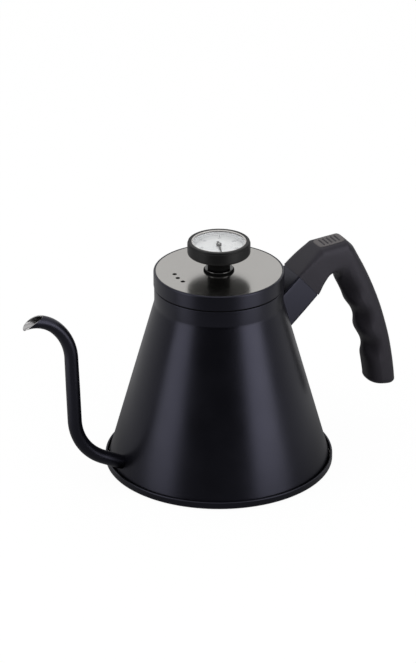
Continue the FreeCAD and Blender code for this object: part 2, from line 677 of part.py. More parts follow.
def build():
    """Make and write every node."""
    path, crest = spout_path()
    bore = spout_sweep(path, SPOUT_RADIUS - SPOUT_WALL)
    write("body_shell", body_shell(bore))
    write("base_pan", base_pan())
    write("induction_disc", induction_disc())
    write("spout_tube", spout_tube(spout_sweep(path, SPOUT_RADIUS), bore, crest))

    write("lid_gasket", lid_gasket())
    write("lid_skirt", lid_skirt())
    write("lid_plate", lid_plate())
    write("lid_insert", lid_insert())
    write("stem_seal", ring(SLEEVE_HOLE, SEAL_RADIUS, PLATE_TOP, SEAL_TOP))
    write("stem_washer", ring(SLEEVE_HOLE, WASHER_RADIUS, SEAL_TOP, WASHER_TOP))
    write("knob_stem", ring(SLEEVE_HOLE, STEM_RADIUS, WASHER_TOP, HOUSING_BOTTOM))
    write("gauge_housing", gauge_housing())
    write("gauge_sleeve", gauge_sleeve())
    write("lock_washer", ring(SLEEVE_HOLE, LOCK_WASHER_RADIUS, NUT_TOP, PLATE_BOTTOM))
    write("sleeve_nut", sleeve_nut())
    write("dial_plate", ring(DIAL_HOLE, GAUGE_RADIUS, DIAL_BOTTOM, DIAL_TOP))
    write("dial_spacer", ring(GAUGE_RADIUS - SPACER_WALL, GAUGE_RADIUS, DIAL_TOP, SPACER_TOP))
    write("lens_gasket", ring(GAUGE_RADIUS - SPACER_WALL, GAUGE_RADIUS, SPACER_TOP, LENS_BOTTOM))
    write("gauge_lens", disc(GAUGE_RADIUS, LENS_BOTTOM, LENS_TOP))
    write("gauge_bezel", gauge_bezel())
    write("probe_tube", ring(PROBE_BORE, PROBE_RADIUS, PROBE_BOTTOM, SLEEVE_TOP))
    write("probe_tip", probe_tip())
    bush_hole = SHAFT_RADIUS + SHAFT_RUNNING_FIT
    write("shaft_bush", ring(bush_hole, PROBE_BORE, SLEEVE_TOP - BUSH_HEIGHT, SLEEVE_TOP))
    write("bimetal_coil", bimetal_coil())
    write("pointer_hand", pointer_hand())
    shaft_top = DIAL_TOP + POINTER_CLEARANCE + POINTER_HUB_HEIGHT
    write("pointer_shaft", disc(SHAFT_RADIUS, PROBE_BOTTOM + PROBE_PLUG_DEPTH + COIL_PITCH, shaft_top))

    tongue_length = BRACKET_REACH + TONGUE_REACH
    tongue = arm_block(TONGUE_DEPTH, TONGUE_WIDTH, -BRACKET_REACH, tongue_length)
    tongue = tongue.cut(body_filled(CONTACT_GAP))
    room_depth = TONGUE_DEPTH + 2 * TONGUE_FIT
    room_width = TONGUE_WIDTH + 2 * TONGUE_FIT
    tongue_room = arm_block(room_depth, room_width, -BRACKET_REACH, tongue_length + TONGUE_FIT)
    screws = handle_screws(0)
    screw_room = handle_screws(SCREW_FIT)
    pad, pad_room = thumb_pad()
    write("handle_bracket", handle_bracket(tongue_room, screw_room[0]))
    write("handle_tongue", tongue.cut(screws[0]).cut(screws[1]))
    write("handle_screws", Part.makeCompound(screws))
    write("thumb_pad", pad)
    write("handle_grip", handle_grip(pad_room, tongue_room, screw_room[1]))


build()
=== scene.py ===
import logging
import math
from dataclasses import dataclass, field, replace
from enum import Enum
from typing import Callable, Optional, Sequence, Union

import bmesh
import bpy
import numpy as np
from mathutils import Matrix, Vector


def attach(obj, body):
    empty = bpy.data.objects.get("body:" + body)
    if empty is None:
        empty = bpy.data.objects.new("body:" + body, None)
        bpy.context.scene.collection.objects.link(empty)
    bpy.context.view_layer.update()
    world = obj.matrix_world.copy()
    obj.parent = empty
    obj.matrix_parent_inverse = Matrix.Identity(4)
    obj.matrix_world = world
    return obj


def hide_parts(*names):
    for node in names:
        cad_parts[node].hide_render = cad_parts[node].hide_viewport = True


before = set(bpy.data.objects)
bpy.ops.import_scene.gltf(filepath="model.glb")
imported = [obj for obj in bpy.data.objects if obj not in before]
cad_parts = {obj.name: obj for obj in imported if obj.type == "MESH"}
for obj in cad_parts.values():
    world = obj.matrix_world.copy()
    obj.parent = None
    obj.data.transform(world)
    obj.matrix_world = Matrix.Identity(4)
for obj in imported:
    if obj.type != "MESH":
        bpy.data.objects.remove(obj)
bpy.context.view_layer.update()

# A gooseneck kettle with a dial thermometer for a lid knob, dressed round its packed solids.
# Sizes are in millimetres in the solids' frame: z is up, the spout points along -x and the handle
# along +x. Meshes are written in metres. The studio's sizes are in metres.

MM = 0.001
LOG = logging.getLogger("kettle")

Span = tuple[float, float]
Triple = tuple[float, float, float]
Colour = tuple[float, float, float, float]
Surface = tuple[np.ndarray, list[np.ndarray]]
Tree = bpy.types.NodeTree
Socket = bpy.types.NodeSocket

WHITE: Colour = (1.0, 1.0, 1.0, 1.0)
WINDOW_SAMPLES = 41
HALVINGS = 40


class Body(Enum):
    """The bodies of the packed model that pieces ride on."""

    KETTLE = "kettle"
    LID = "lid"


class Slot(Enum):
    """The record's material slots."""

    COATED_STEEL = "coated_steel"
    BRUSHED_PLATE = "brushed_plate"
    BARE_STEEL = "bare_steel"
    POLISHED_STEEL = "polished_steel"
    GRIP_PLASTIC = "grip_plastic"
    PAD_RUBBER = "pad_rubber"
    SILICONE = "silicone"
    KNOB_PLASTIC = "knob_plastic"
    DIAL_ENAMEL = "dial_enamel"
    DIAL_GLASS = "dial_glass"
    POINTER_METAL = "pointer_metal"
    BIMETAL = "bimetal"
    BRONZE = "bronze"


class Course(Enum):
    """How a level changes from one end of an edge to the other."""

    EVEN = "LINEAR"
    SOFT = "SMOOTHSTEP"


# Shader nodes

def linear(code: str) -> Colour:
    """Turn an sRGB hex colour into linear values, by the straight foot and the power of its curve.

    Args:
        code: The colour as "#rrggbb".

    Returns:
        Red, green, blue and alpha, linear.
    """
    srgb = np.array([int(code[place:place + 2], 16) for place in (1, 3, 5)]) / 255.0
    low = srgb / 12.92
    high = ((srgb + 0.055) / 1.055) ** 2.4
    red, green, blue = np.where(srgb <= 0.04045, low, high)
    return float(red), float(green), float(blue), 1.0


def fresh_tree(owner: Union[bpy.types.Material, bpy.types.World]) -> Tree:
    """Give a material or a world an empty node tree.

    Args:
        owner: The material or the world.

    Returns:
        Its node tree.
    """
    owner.use_nodes = True
    owner.node_tree.nodes.clear()
    return owner.node_tree


def add_node(
    tree: Tree, kind: str, inputs: Optional[dict[Union[str, int], object]] = None, **settings: object,
) -> bpy.types.Node:
    """Add a shader node with its settings, constants and links.

    Args:
        tree: The node tree that gets the node.
        kind: The node's type, without the ShaderNode that all types start with.
        inputs: Sockets by name or place, each with a constant or with the output that feeds it.
        settings: Attributes of the node and their values.

    Returns:
        The new node.
    """
    node = tree.nodes.new(f"ShaderNode{kind}")
    for name, value in settings.items():
        setattr(node, name, value)
    for name, value in (inputs or {}).items():
        if isinstance(value, Socket):
            tree.links.new(value, node.inputs[name])
        else:
            node.inputs[name].default_value = value
    return node


def compute(tree: Tree, operation: str, *values: object) -> Socket:
    """Add a node that computes a number from numbers or sockets."""
    return add_node(tree, "Math", dict(enumerate(values)), operation=operation).outputs[0]


def compute_vector(tree: Tree, operation: str, *values: object) -> Socket:
    """Add a node that computes with vectors, and give the vector or number that it makes."""
    node = add_node(tree, "VectorMath", dict(enumerate(values)), operation=operation)
    return node.outputs["Value" if operation in ("LENGTH", "DOT_PRODUCT") else "Vector"]


def flattened(tree: Tree, vector: Socket) -> Socket:
    """A vector without its height."""
    return compute_vector(tree, "MULTIPLY", vector, (1.0, 1.0, 0.0))


def blended(tree: Tree, share: Socket, first: object, second: object) -> Socket:
    """The first colour, in socket 6, where the share is 0 and the second, in 7, where it is 1."""
    return add_node(tree, "Mix", {0: share, 6: first, 7: second}, data_type="RGBA").outputs[2]


def ramp(
    tree: Tree, value: Socket, edge: Span, ends: Sequence[object], course: Course = Course.SOFT,
) -> Socket:
    """A change from one level to another.

    Args:
        tree: The node tree.
        value: What the change goes by.
        edge: Where it starts and ends.
        ends: The levels before it and after it, numbers or sockets.
        course: How it goes from the one to the other.

    Returns:
        The level.
    """
    made = add_node(tree, "MapRange", {
        "Value": value, "From Min": edge[0], "From Max": edge[1], "To Min": ends[0], "To Max": ends[1],
    }, interpolation_type=course.value)
    return made.outputs["Result"]


# Finishes

@dataclass(frozen=True)
class Finish:
    """A real surface: its colour, its gloss, its fine texture and its slow unevenness.

    The fine texture is a noise of grain_mm, drawn out along grain_stretch, that tilts the surface
    by grain_depth_mm. The unevenness is a noise of cloud_mm. Both together move the colour, and
    the roughness by its swing either way as they go through swing_edge.
    """

    name: str
    slot: Slot
    colour: str
    shade: str
    roughness: float
    roughness_swing: float
    metallic: float = 0.0
    ior: float = 1.5
    tint: str = "#ffffff"
    transmission: float = 0.0
    grain_mm: float = 0.6
    grain_stretch: Triple = (1.0, 1.0, 1.0)
    grain_depth_mm: float = 0.01
    grain_share: float = 0.3
    grain_octaves: float = 2.0
    cloud_mm: float = 22.0
    cloud_octaves: float = 3.0
    swing_edge: Span = (0.3, 0.7)

    def material(self) -> bpy.types.Material:
        """Make the material, or give the one that is already made.

        Returns:
            The finish as a node material.
        """
        found = bpy.data.materials.get(self.name)
        if found is not None:
            return found
        made = bpy.data.materials.new(self.name)
        tree = fresh_tree(made)
        place = add_node(tree, "TexCoord").outputs["Object"]
        grain = self.grain(tree, place)
        bump = add_node(tree, "Bump", {
            "Strength": 1.0, "Distance": self.grain_depth_mm * MM, "Height": grain})
        shader = add_node(tree, "BsdfPrincipled", {
            "Normal": bump.outputs["Normal"],
            "IOR": self.ior,
            "Specular Tint": linear(self.tint),
            "Transmission Weight": self.transmission,
            **self.varied(tree, place, grain),
        })
        add_node(tree, "OutputMaterial", {"Surface": shader.outputs["BSDF"]})
        return made

    def varied(self, tree: Tree, place: Socket, grain: Socket) -> dict[str, object]:
        """Colour, roughness and metallic, which may differ from place to place.

        Args:
            tree: The material's node tree.
            place: Coordinates in metres.
            grain: The fine texture.

        Returns:
            What each of the shader's sockets gets.
        """
        cloud = self.noise(tree, place, self.cloud_mm, (1.0, 1.0, 1.0), self.cloud_octaves)
        share = compute(tree, "MULTIPLY", cloud, 1.0 - self.grain_share)
        mixed = compute(tree, "MULTIPLY_ADD", grain, self.grain_share, share)
        glosses = (self.roughness - self.roughness_swing, self.roughness + self.roughness_swing)
        return {
            "Base Color": blended(tree, mixed, linear(self.shade), linear(self.colour)),
            "Roughness": ramp(tree, mixed, self.swing_edge, glosses, Course.EVEN),
            "Metallic": self.metallic,
        }

    def noise(self, tree: Tree, place: Socket, size_mm: float, stretch: Triple, octaves: float) -> Socket:
        """A noise whose blobs have a real size.

        Args:
            tree: The material's node tree.
            place: Coordinates in metres.
            size_mm: The blobs' size.
            stretch: How much longer the blobs are along x, y and z.
            octaves: The noise's detail.

        Returns:
            The noise's value, about 0.5.
        """
        scale = tuple(1.0 / (size_mm * MM * along) for along in stretch)
        sized = add_node(tree, "Mapping", {"Vector": place, "Scale": scale}).outputs["Vector"]
        return add_node(tree, "TexNoise", {"Vector": sized, "Scale": 1.0, "Detail": octaves}).outputs[0]

    def grain(self, tree: Tree, place: Socket) -> Socket:
        """The fine texture, a noise of the grain's size."""
        return self.noise(tree, place, self.grain_mm, self.grain_stretch, self.grain_octaves)


@dataclass(frozen=True)
class SpunFinish(Finish):
    """A finish whose fine texture runs in rings about the kettle's axis, as turning leaves it."""

    def grain(self, tree: Tree, place: Socket) -> Socket:
        """Noise of the distance from the axis alone, so that it is drawn out round the axis.

        Args:
            tree: The material's node tree.
            place: Coordinates in metres.

        Returns:
            The noise's value.
        """
        away = compute_vector(tree, "LENGTH", flattened(tree, place))
        rings = {"W": away, "Scale": 1.0 / (self.grain_mm * MM), "Detail": self.grain_octaves}
        return add_node(tree, "TexNoise", rings, noise_dimensions="1D").outputs[0]


@dataclass(frozen=True)
class LinedFinish(Finish):
    """A coating on the outside of a turned vessel, with the bare metal of a lining inside.

    A place counts as inside where its distance from the axis times the cosine between its normal
    and the way out from the axis is under minus inward_mm.
    """

    lining: Optional[Finish] = None
    inward_mm: float = 0.2

    def varied(self, tree: Tree, place: Socket, grain: Socket) -> dict[str, object]:
        """The coating's values, or the lining's where the surface faces the kettle's axis.

        Args:
            tree: The material's node tree.
            place: Coordinates in metres.
            grain: The fine texture.

        Returns:
            What each of the shader's sockets gets.
        """
        coated = super().varied(tree, place, grain)
        bare = self.lining.varied(tree, place, grain)
        normal = add_node(tree, "TexCoord").outputs["Normal"]
        outward = compute_vector(tree, "DOT_PRODUCT", normal, flattened(tree, place))
        inside = compute(tree, "LESS_THAN", outward, -self.inward_mm * MM)
        glosses = (coated["Roughness"], bare["Roughness"])
        return {
            "Base Color": blended(tree, inside, coated["Base Color"], bare["Base Color"]),
            "Roughness": ramp(tree, inside, (0.0, 1.0), glosses, Course.EVEN),
            "Metallic": inside,
        }


# Plain stainless inside the vessel: drawn, pickled and left as it is, with faint rings.
BARE = SpunFinish("drawn_stainless", Slot.BARE_STEEL, "#dedbd7", "#c6c3c0", 0.36, 0.08,
                  metallic=1.0, grain_mm=0.5, grain_depth_mm=0.004, grain_share=0.5)
# The same steel inside the spout, left greyer by the pickling after its welding.
PICKLED = replace(BARE, name="pickled_stainless", colour="#c4c3c3", shade="#a9a8a8", roughness=0.32)
# Black baked lacquer on pressed steel: almost no colour of its own, a soft bluish gloss and a faint
# orange peel that breaks the edges of the reflections.
LACQUER = Finish("baked_black_lacquer", Slot.COATED_STEEL, "#040405", "#020203", 0.32, 0.03,
                 ior=1.6, tint="#d0d0ef", grain_mm=1.1, grain_depth_mm=0.005)
# The same lacquer on the vessel, which is left bare inside.
LINED_LACQUER = LinedFinish(**{**vars(LACQUER), "name": "baked_black_lacquer_over_stainless"}, lining=BARE)
# Stainless sheet brushed in one direction: grey, with fine streaks and a blurred mirror image.
BRUSHED = Finish("brushed_stainless_sheet", Slot.BRUSHED_PLATE, "#c8c6c3", "#bcbab6", 0.19, 0.03,
                 metallic=1.0, grain_mm=0.14, grain_stretch=(90.0, 1.0, 1.0), grain_depth_mm=0.0004,
                 grain_share=0.6)
# Buffed stainless: a near mirror with a slight haze.
POLISHED = SpunFinish("buffed_stainless", Slot.POLISHED_STEEL, "#e2e0de", "#cdcac7", 0.12, 0.04,
                      metallic=1.0, grain_mm=0.3, grain_depth_mm=0.0008)
# Blackened steel washer: black from in front, with the glare of its oxide at the sides.
BLACKENED = SpunFinish("blackened_steel", Slot.POLISHED_STEEL, "#0c0c0d", "#080809", 0.10, 0.03,
                       ior=1.9, grain_mm=0.3, grain_depth_mm=0.0008)
# Nylon moulded in a spark-eroded tool: dark grey, dull, with a fine grain drawn a little coarse.
NYLON = Finish("moulded_black_nylon", Slot.GRIP_PLASTIC, "#232125", "#1e1c20", 0.50, 0.05,
               ior=1.53, tint="#e4e0f2", grain_mm=0.55, grain_depth_mm=0.022, cloud_mm=30.0)
# Soft rubber overmould, duller than the nylon round it. Its light grey is partly painted light: it stands
# in for the light from above on the pad's upward face.
RUBBER = Finish("moulded_grey_rubber", Slot.PAD_RUBBER, "#6d696a", "#5f5b5c", 0.72, 0.06,
                grain_mm=0.5, grain_depth_mm=0.02, cloud_mm=9.0)
# Food-grade silicone: black, waxy.
SILICONE = Finish("moulded_black_silicone", Slot.SILICONE, "#060606", "#040404", 0.80, 0.06,
                  ior=1.2, grain_mm=0.8)
# Phenolic knob: black, pressed in a satin tool, a little glossier than the grip.
PHENOLIC = Finish("pressed_black_phenolic", Slot.KNOB_PLASTIC, "#0a0a0b", "#070708", 0.46, 0.04,
                  ior=1.40, grain_mm=0.4, grain_depth_mm=0.008)
# The same resin blasted matt on the stem, which throws no streaks into the lid.
MATT_PHENOLIC = Finish("blasted_black_phenolic", Slot.KNOB_PLASTIC, "#060606", "#040404", 0.78, 0.05,
                       ior=1.25, grain_mm=0.3)
# Silver-white enamel on the dial, with a faint turned sheen.
ENAMEL = SpunFinish("silver_dial_enamel", Slot.DIAL_ENAMEL, "#fdfdfe", "#f6f6f8", 0.30, 0.05,
                    metallic=0.15, grain_mm=0.25, grain_depth_mm=0.002)
# Clear pressed glass with a coating that takes most of the glare away, so the dial stays bright.
GLASS = Finish("coated_clear_glass", Slot.DIAL_GLASS, "#ffffff", "#fbfdfc", 0.02, 0.01,
               ior=1.25, transmission=1.0, grain_mm=6.0, grain_depth_mm=0.0005)
# Black lacquer of the dial's hand.
INK = Finish("black_dial_ink", Slot.POINTER_METAL, "#2a2a2c", "#202022", 0.5, 0.05,
             grain_mm=0.3, grain_depth_mm=0.004)
# Grey ink of the dial's scale, thin enough that the silver shows through.
PALE_INK = replace(INK, name="grey_dial_ink", colour="#b4b4ba", shade="#a8a8ae")
# Rolled bimetal strip: warm grey, slightly oxidised.
BIMETAL = Finish("rolled_bimetal", Slot.BIMETAL, "#b7a182", "#97835f", 0.35, 0.08,
                 metallic=1.0, grain_mm=0.3, grain_depth_mm=0.003, cloud_mm=4.0)
# Sintered bronze bush.
BRONZE = Finish("sintered_bronze", Slot.BRONZE, "#a9794a", "#8c6039", 0.42, 0.08,
                metallic=1.0, grain_mm=0.25, cloud_mm=3.0)


# Curves and surfaces

def unit(vectors: np.ndarray) -> np.ndarray:
    """Vectors of the same directions and of length 1."""
    return vectors / np.linalg.norm(vectors, axis=-1, keepdims=True)


def full_turn(columns: int) -> np.ndarray:
    """Even angles once round a circle."""
    return np.linspace(0.0, 2.0 * np.pi, columns, endpoint=False)


def bell(distance: np.ndarray, spread: float) -> np.ndarray:
    """Bell curve of a distance: 1 at 0 and 1 / e at the spread."""
    return np.exp(-(distance / spread) ** 2)


def swell(angle: np.ndarray) -> np.ndarray:
    """Half of one minus the cosine of an angle: 0 at 0 and 1 at half a turn."""
    return (1.0 - np.cos(angle)) / 2.0


def off_axis(points: np.ndarray) -> np.ndarray:
    """Distance of places from the kettle's axis."""
    return np.hypot(points[..., 0], points[..., 1])


def shrunk(ring: np.ndarray, shares: Sequence[float]) -> np.ndarray:
    """A ring drawn towards its middle, once for each share of its size."""
    middle = ring.mean(axis=0)
    return middle + (ring - middle) * np.reshape(shares, (-1, 1, 1))


def grid_faces(rows: int, columns: int, close_rows: bool) -> np.ndarray:
    """Four-sided faces of a grid whose columns close on themselves.

    Args:
        rows: Number of rings.
        columns: Points in each ring.
        close_rows: Whether the last ring joins the first.

    Returns:
        Point numbers, four to a face.
    """
    ring = np.arange(rows if close_rows else rows - 1)[:, None]
    place = np.arange(columns)[None, :]
    following = (ring + 1) % rows
    beside = (place + 1) % columns
    corners = (ring * columns + place, ring * columns + beside,
               following * columns + beside, following * columns + place)
    return np.stack(np.broadcast_arrays(*corners), axis=-1).reshape(-1, 4)


def fan_faces(first: int, columns: int, pole: int) -> np.ndarray:
    """Three-sided faces that close a ring on a pole.

    Args:
        first: Number of the ring's first point.
        columns: Points in the ring.
        pole: Number of the pole's point.

    Returns:
        Point numbers, three to a face.
    """
    place = np.arange(columns)
    beside = (place + 1) % columns
    return np.stack([first + place, first + beside, np.full(columns, pole)], axis=-1)


def stacked(rings: np.ndarray, poles: Optional[np.ndarray] = None) -> Surface:
    """Surface through a stack of rings, closed on a pole at each end.

    Args:
        rings: Places, ring by ring.
        poles: The two poles, or nothing for the middles of the end rings.

    Returns:
        Places and faces: the rings', the first pole's and the last pole's.
    """
    count, columns = rings.shape[:2]
    if poles is None:
        poles = rings[[0, -1]].mean(axis=1)
    first = fan_faces(0, columns, count * columns)[:, ::-1]
    last = fan_faces((count - 1) * columns, columns, count * columns + 1)
    points = np.concatenate([rings.reshape(-1, 3), poles])
    return points, [grid_faces(count, columns, False), first, last]


def enclosed(points: np.ndarray, faces: Sequence[np.ndarray]) -> float:
    """Volume inside the faces, negative where they point inwards.

    Args:
        points: Places, three numbers each.
        faces: Arrays of point numbers.

    Returns:
        The sum of the tetrahedra from the origin to each face.
    """
    total = 0.0
    for group in faces:
        first = points[group[:, 0]]
        for step in range(1, group.shape[1] - 1):
            pair = np.cross(points[group[:, step]], points[group[:, step + 1]])
            total += float(np.einsum("ij,ij->", first, pair)) / 6.0
    return total


def eased(corners: Sequence[Triple], steps: int = 7, support: float = 0.12) -> np.ndarray:
    """Closed outline whose corners are arcs tangent to their two sides.

    A corner of radius r with an angle w between its sides starts its arc r / tan(w / 2) from the
    corner. The arc's points turn evenly from one tangent point to the other about the centre. A
    point just before and after each arc keeps the shading of the flat sides flat.

    Args:
        corners: Across, up and radius of each corner.
        steps: Points in each arc.
        support: How far the extra points are from the arc.

    Returns:
        Across and up of each point.
    """
    made = []
    for index, (across, up, radius) in enumerate(corners):
        here = np.array([across, up])
        if radius <= 0:
            made.append(here[None, :])
            continue
        before = unit(np.array(corners[index - 1][:2]) - here)
        after = unit(np.array(corners[(index + 1) % len(corners)][:2]) - here)
        half = math.acos(float(np.clip(before @ after, -1.0, 1.0))) / 2.0
        reach = radius / math.tan(half)
        centre = here + unit(before + after) * radius / math.sin(half)
        start = here + before * reach - centre
        end = here + after * reach - centre
        turn = math.pi - 2.0 * half
        share = np.linspace(0.0, 1.0, steps)[:, None]
        arc = (np.sin((1.0 - share) * turn) * start + np.sin(share * turn) * end) / math.sin(turn)
        made.append((here + before * (reach + support))[None, :])
        made.append(centre + arc)
        made.append((here + after * (reach + support))[None, :])
    return np.concatenate(made)


def spun(outline: np.ndarray, columns: int) -> np.ndarray:
    """Rings of an outline turned about the kettle's axis.

    A point at distance r and height z becomes the ring (r cos t, r sin t, z) for t round a circle.

    Args:
        outline: Distance from the axis and height of each point.
        columns: Points in each ring.

    Returns:
        Places, ring by ring.
    """
    angle = full_turn(columns)[None, :]
    distance = outline[:, :1]
    height = np.broadcast_to(outline[:, 1:], (len(outline), columns))
    return np.stack([distance * np.cos(angle), distance * np.sin(angle), height], axis=-1)


def turned(outline: np.ndarray, columns: int) -> Surface:
    """Surface of a closed outline turned about the kettle's axis."""
    return spun(outline, columns).reshape(-1, 3), [grid_faces(len(outline), columns, True)]


def dished(outline: np.ndarray, columns: int) -> Surface:
    """Surface of an outline turned about the axis, with its two ends as poles on the axis."""
    return stacked(spun(outline[1:-1], columns), spun(outline[[0, -1]], 1)[:, 0])


def rounded_through(
    stations: np.ndarray, knots: np.ndarray, places: np.ndarray, window: float,
) -> np.ndarray:
    """Straight runs between stations, with corners rounded by averaging over a window.

    The value at a place is the mean of the straight runs over the window about it, weighted by a
    raised cosine. The window narrows to nothing at both ends, so the ends stay where they are.

    Args:
        stations: Values at the knots, one row each.
        knots: Growing places of the stations.
        places: Where the curve is wanted.
        window: Half the window's width.

    Returns:
        One row of values for each place.
    """
    offsets = np.linspace(-1.0, 1.0, WINDOW_SAMPLES)
    weights = 1.0 + np.cos(np.pi * offsets)
    weights = weights / weights.sum()
    room = np.minimum(np.minimum(places - knots[0], knots[-1] - places), window)
    spread = places[:, None] + room[:, None] * offsets[None, :]
    columns = [np.interp(spread, knots, column) @ weights for column in stations.T]
    return np.stack(columns, axis=-1)


def settle(inside: Callable[[np.ndarray], np.ndarray], low: np.ndarray, high: np.ndarray) -> np.ndarray:
    """Places where a test changes, found for a whole array by halving.

    Args:
        inside: Gives true at low and false at high.
        low: Places where the test holds.
        high: Places where it doesn't.

    Returns:
        The places between.
    """
    for _ in range(HALVINGS):
        middle = (low + high) / 2.0
        held = inside(middle)
        low = np.where(held, middle, low)
        high = np.where(held, high, middle)
    return (low + high) / 2.0


# Pieces

def link_object(name: str, data: bpy.types.ID) -> bpy.types.Object:
    """Put a mesh, a lamp or a camera into the scene.

    Args:
        name: The object's name.
        data: What it shows.

    Returns:
        The new object.
    """
    made = bpy.data.objects.new(name, data)
    bpy.context.scene.collection.objects.link(made)
    return made


def place_piece(
    name: str,
    surface: Surface,
    finishes: Sequence[Finish],
    body: Body,
    stands_for: Sequence[str],
    choice: Optional[np.ndarray] = None,
    crease: float = 32.0,
) -> None:
    """Turn a closed surface into a piece that rides on a body.

    Args:
        name: The piece's name.
        surface: Places in millimetres, and faces, turned outwards here if they point inwards.
        finishes: The piece's finishes.
        body: The body that it rides on.
        stands_for: The solids that it replaces.
        choice: Which finish each face has, where there are several.
        crease: Edges sharper than this many degrees stay sharp.
    """
    points, faces = surface
    if enclosed(points, faces) < 0:
        faces = [group[:, ::-1] for group in faces]
    mesh = bpy.data.meshes.new(name)
    listed = []
    for group in faces:
        listed.extend(group.tolist())
    mesh.from_pydata((points * MM).tolist(), [], listed)
    mesh.shade_smooth()
    mesh.set_sharp_from_angle(angle=math.radians(crease))
    for finish in finishes:
        mesh.materials.append(finish.material())
    if choice is not None:
        mesh.polygons.foreach_set("material_index", choice.astype(np.int32))
    mesh.update()
    piece = link_object(name, mesh)
    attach(piece, body.value)
    if stands_for:
        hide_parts(*stands_for)
    LOG.info("%s: %d faces", name, len(listed))


def dress(finish: Finish, *nodes: str) -> None:
    """Give solids that keep their packed shape a finish.

    Args:
        finish: The finish.
        nodes: The solids' names.
    """
    for name in nodes:
        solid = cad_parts[name]
        solid.data.materials.clear()
        solid.data.materials.append(finish.material())
        LOG.info("%s: packed shape in %s", name, finish.name)


@dataclass
class Vessel:
    """The coated body, its rolled base rim and the disc under it."""

    base_radius: float = 75.0
    rim_bottom: float = 0.5
    rim_top: float = 5.5
    rim_wall: float = 1.4
    rim_round: float = 0.68
    foot_round: float = 1.3
    cone_at_floor: float = 73.8
    collar_radius: float = 42.0
    collar_bottom: float = 114.0
    pan_wall: float = 0.8
    pan_round: float = 0.2
    step_rounds: tuple[float, ...] = (0.3, 0.4, 0.3, 0.5)
    lining_margin: float = 0.1
    disc_radius: float = 62.0
    disc_height: float = 3.0
    disc_gap: float = 0.4
    root_gap: float = 0.05
    columns: int = 256

    def clear(self, points: np.ndarray) -> np.ndarray:
        """Whether places are outside the body, which is a cone up to its straight collar.

        Args:
            points: The places.

        Returns:
            True for each place that is past the body's outside by more than the root's gap.
        """
        taper = (self.cone_at_floor - self.collar_radius) / self.collar_bottom
        outside = np.maximum(self.cone_at_floor - taper * points[:, 2], self.collar_radius)
        return off_axis(points) > outside + self.root_gap

    def build(self) -> None:
        """Dress the packed body and make the base pan with its rolled rim, bare on top."""
        dress(LINED_LACQUER, "body_shell")
        dress(BARE, "induction_disc")
        step = self.disc_radius + self.disc_gap
        foot = self.rim_bottom + self.pan_wall
        floor = self.disc_height + self.pan_wall
        inside = self.base_radius - self.rim_wall
        outline = eased([
            (step, self.disc_height, self.step_rounds[0]),
            (step, self.rim_bottom, self.step_rounds[1]),
            (self.base_radius, self.rim_bottom, self.foot_round),
            (self.base_radius, self.rim_top, self.rim_round),
            (inside, self.rim_top, self.rim_round),
            (inside, foot, self.pan_round),
            (step + self.pan_wall, foot, self.step_rounds[2]),
            (step + self.pan_wall, floor, self.step_rounds[3]),
        ])
        whole = np.concatenate([[[0.0, self.disc_height]], outline, [[0.0, floor]]])
        points, faces = dished(whole, self.columns)
        middle = points[faces[0]].mean(axis=1)
        within = off_axis(middle) < inside - self.lining_margin
        above = middle[:, 2] > foot - self.lining_margin
        choice = np.concatenate([within & above, np.zeros(self.columns), np.ones(self.columns)])
        place_piece("base_rim", (points, faces), [LACQUER, BARE], Body.KETTLE, ["base_pan"], choice)


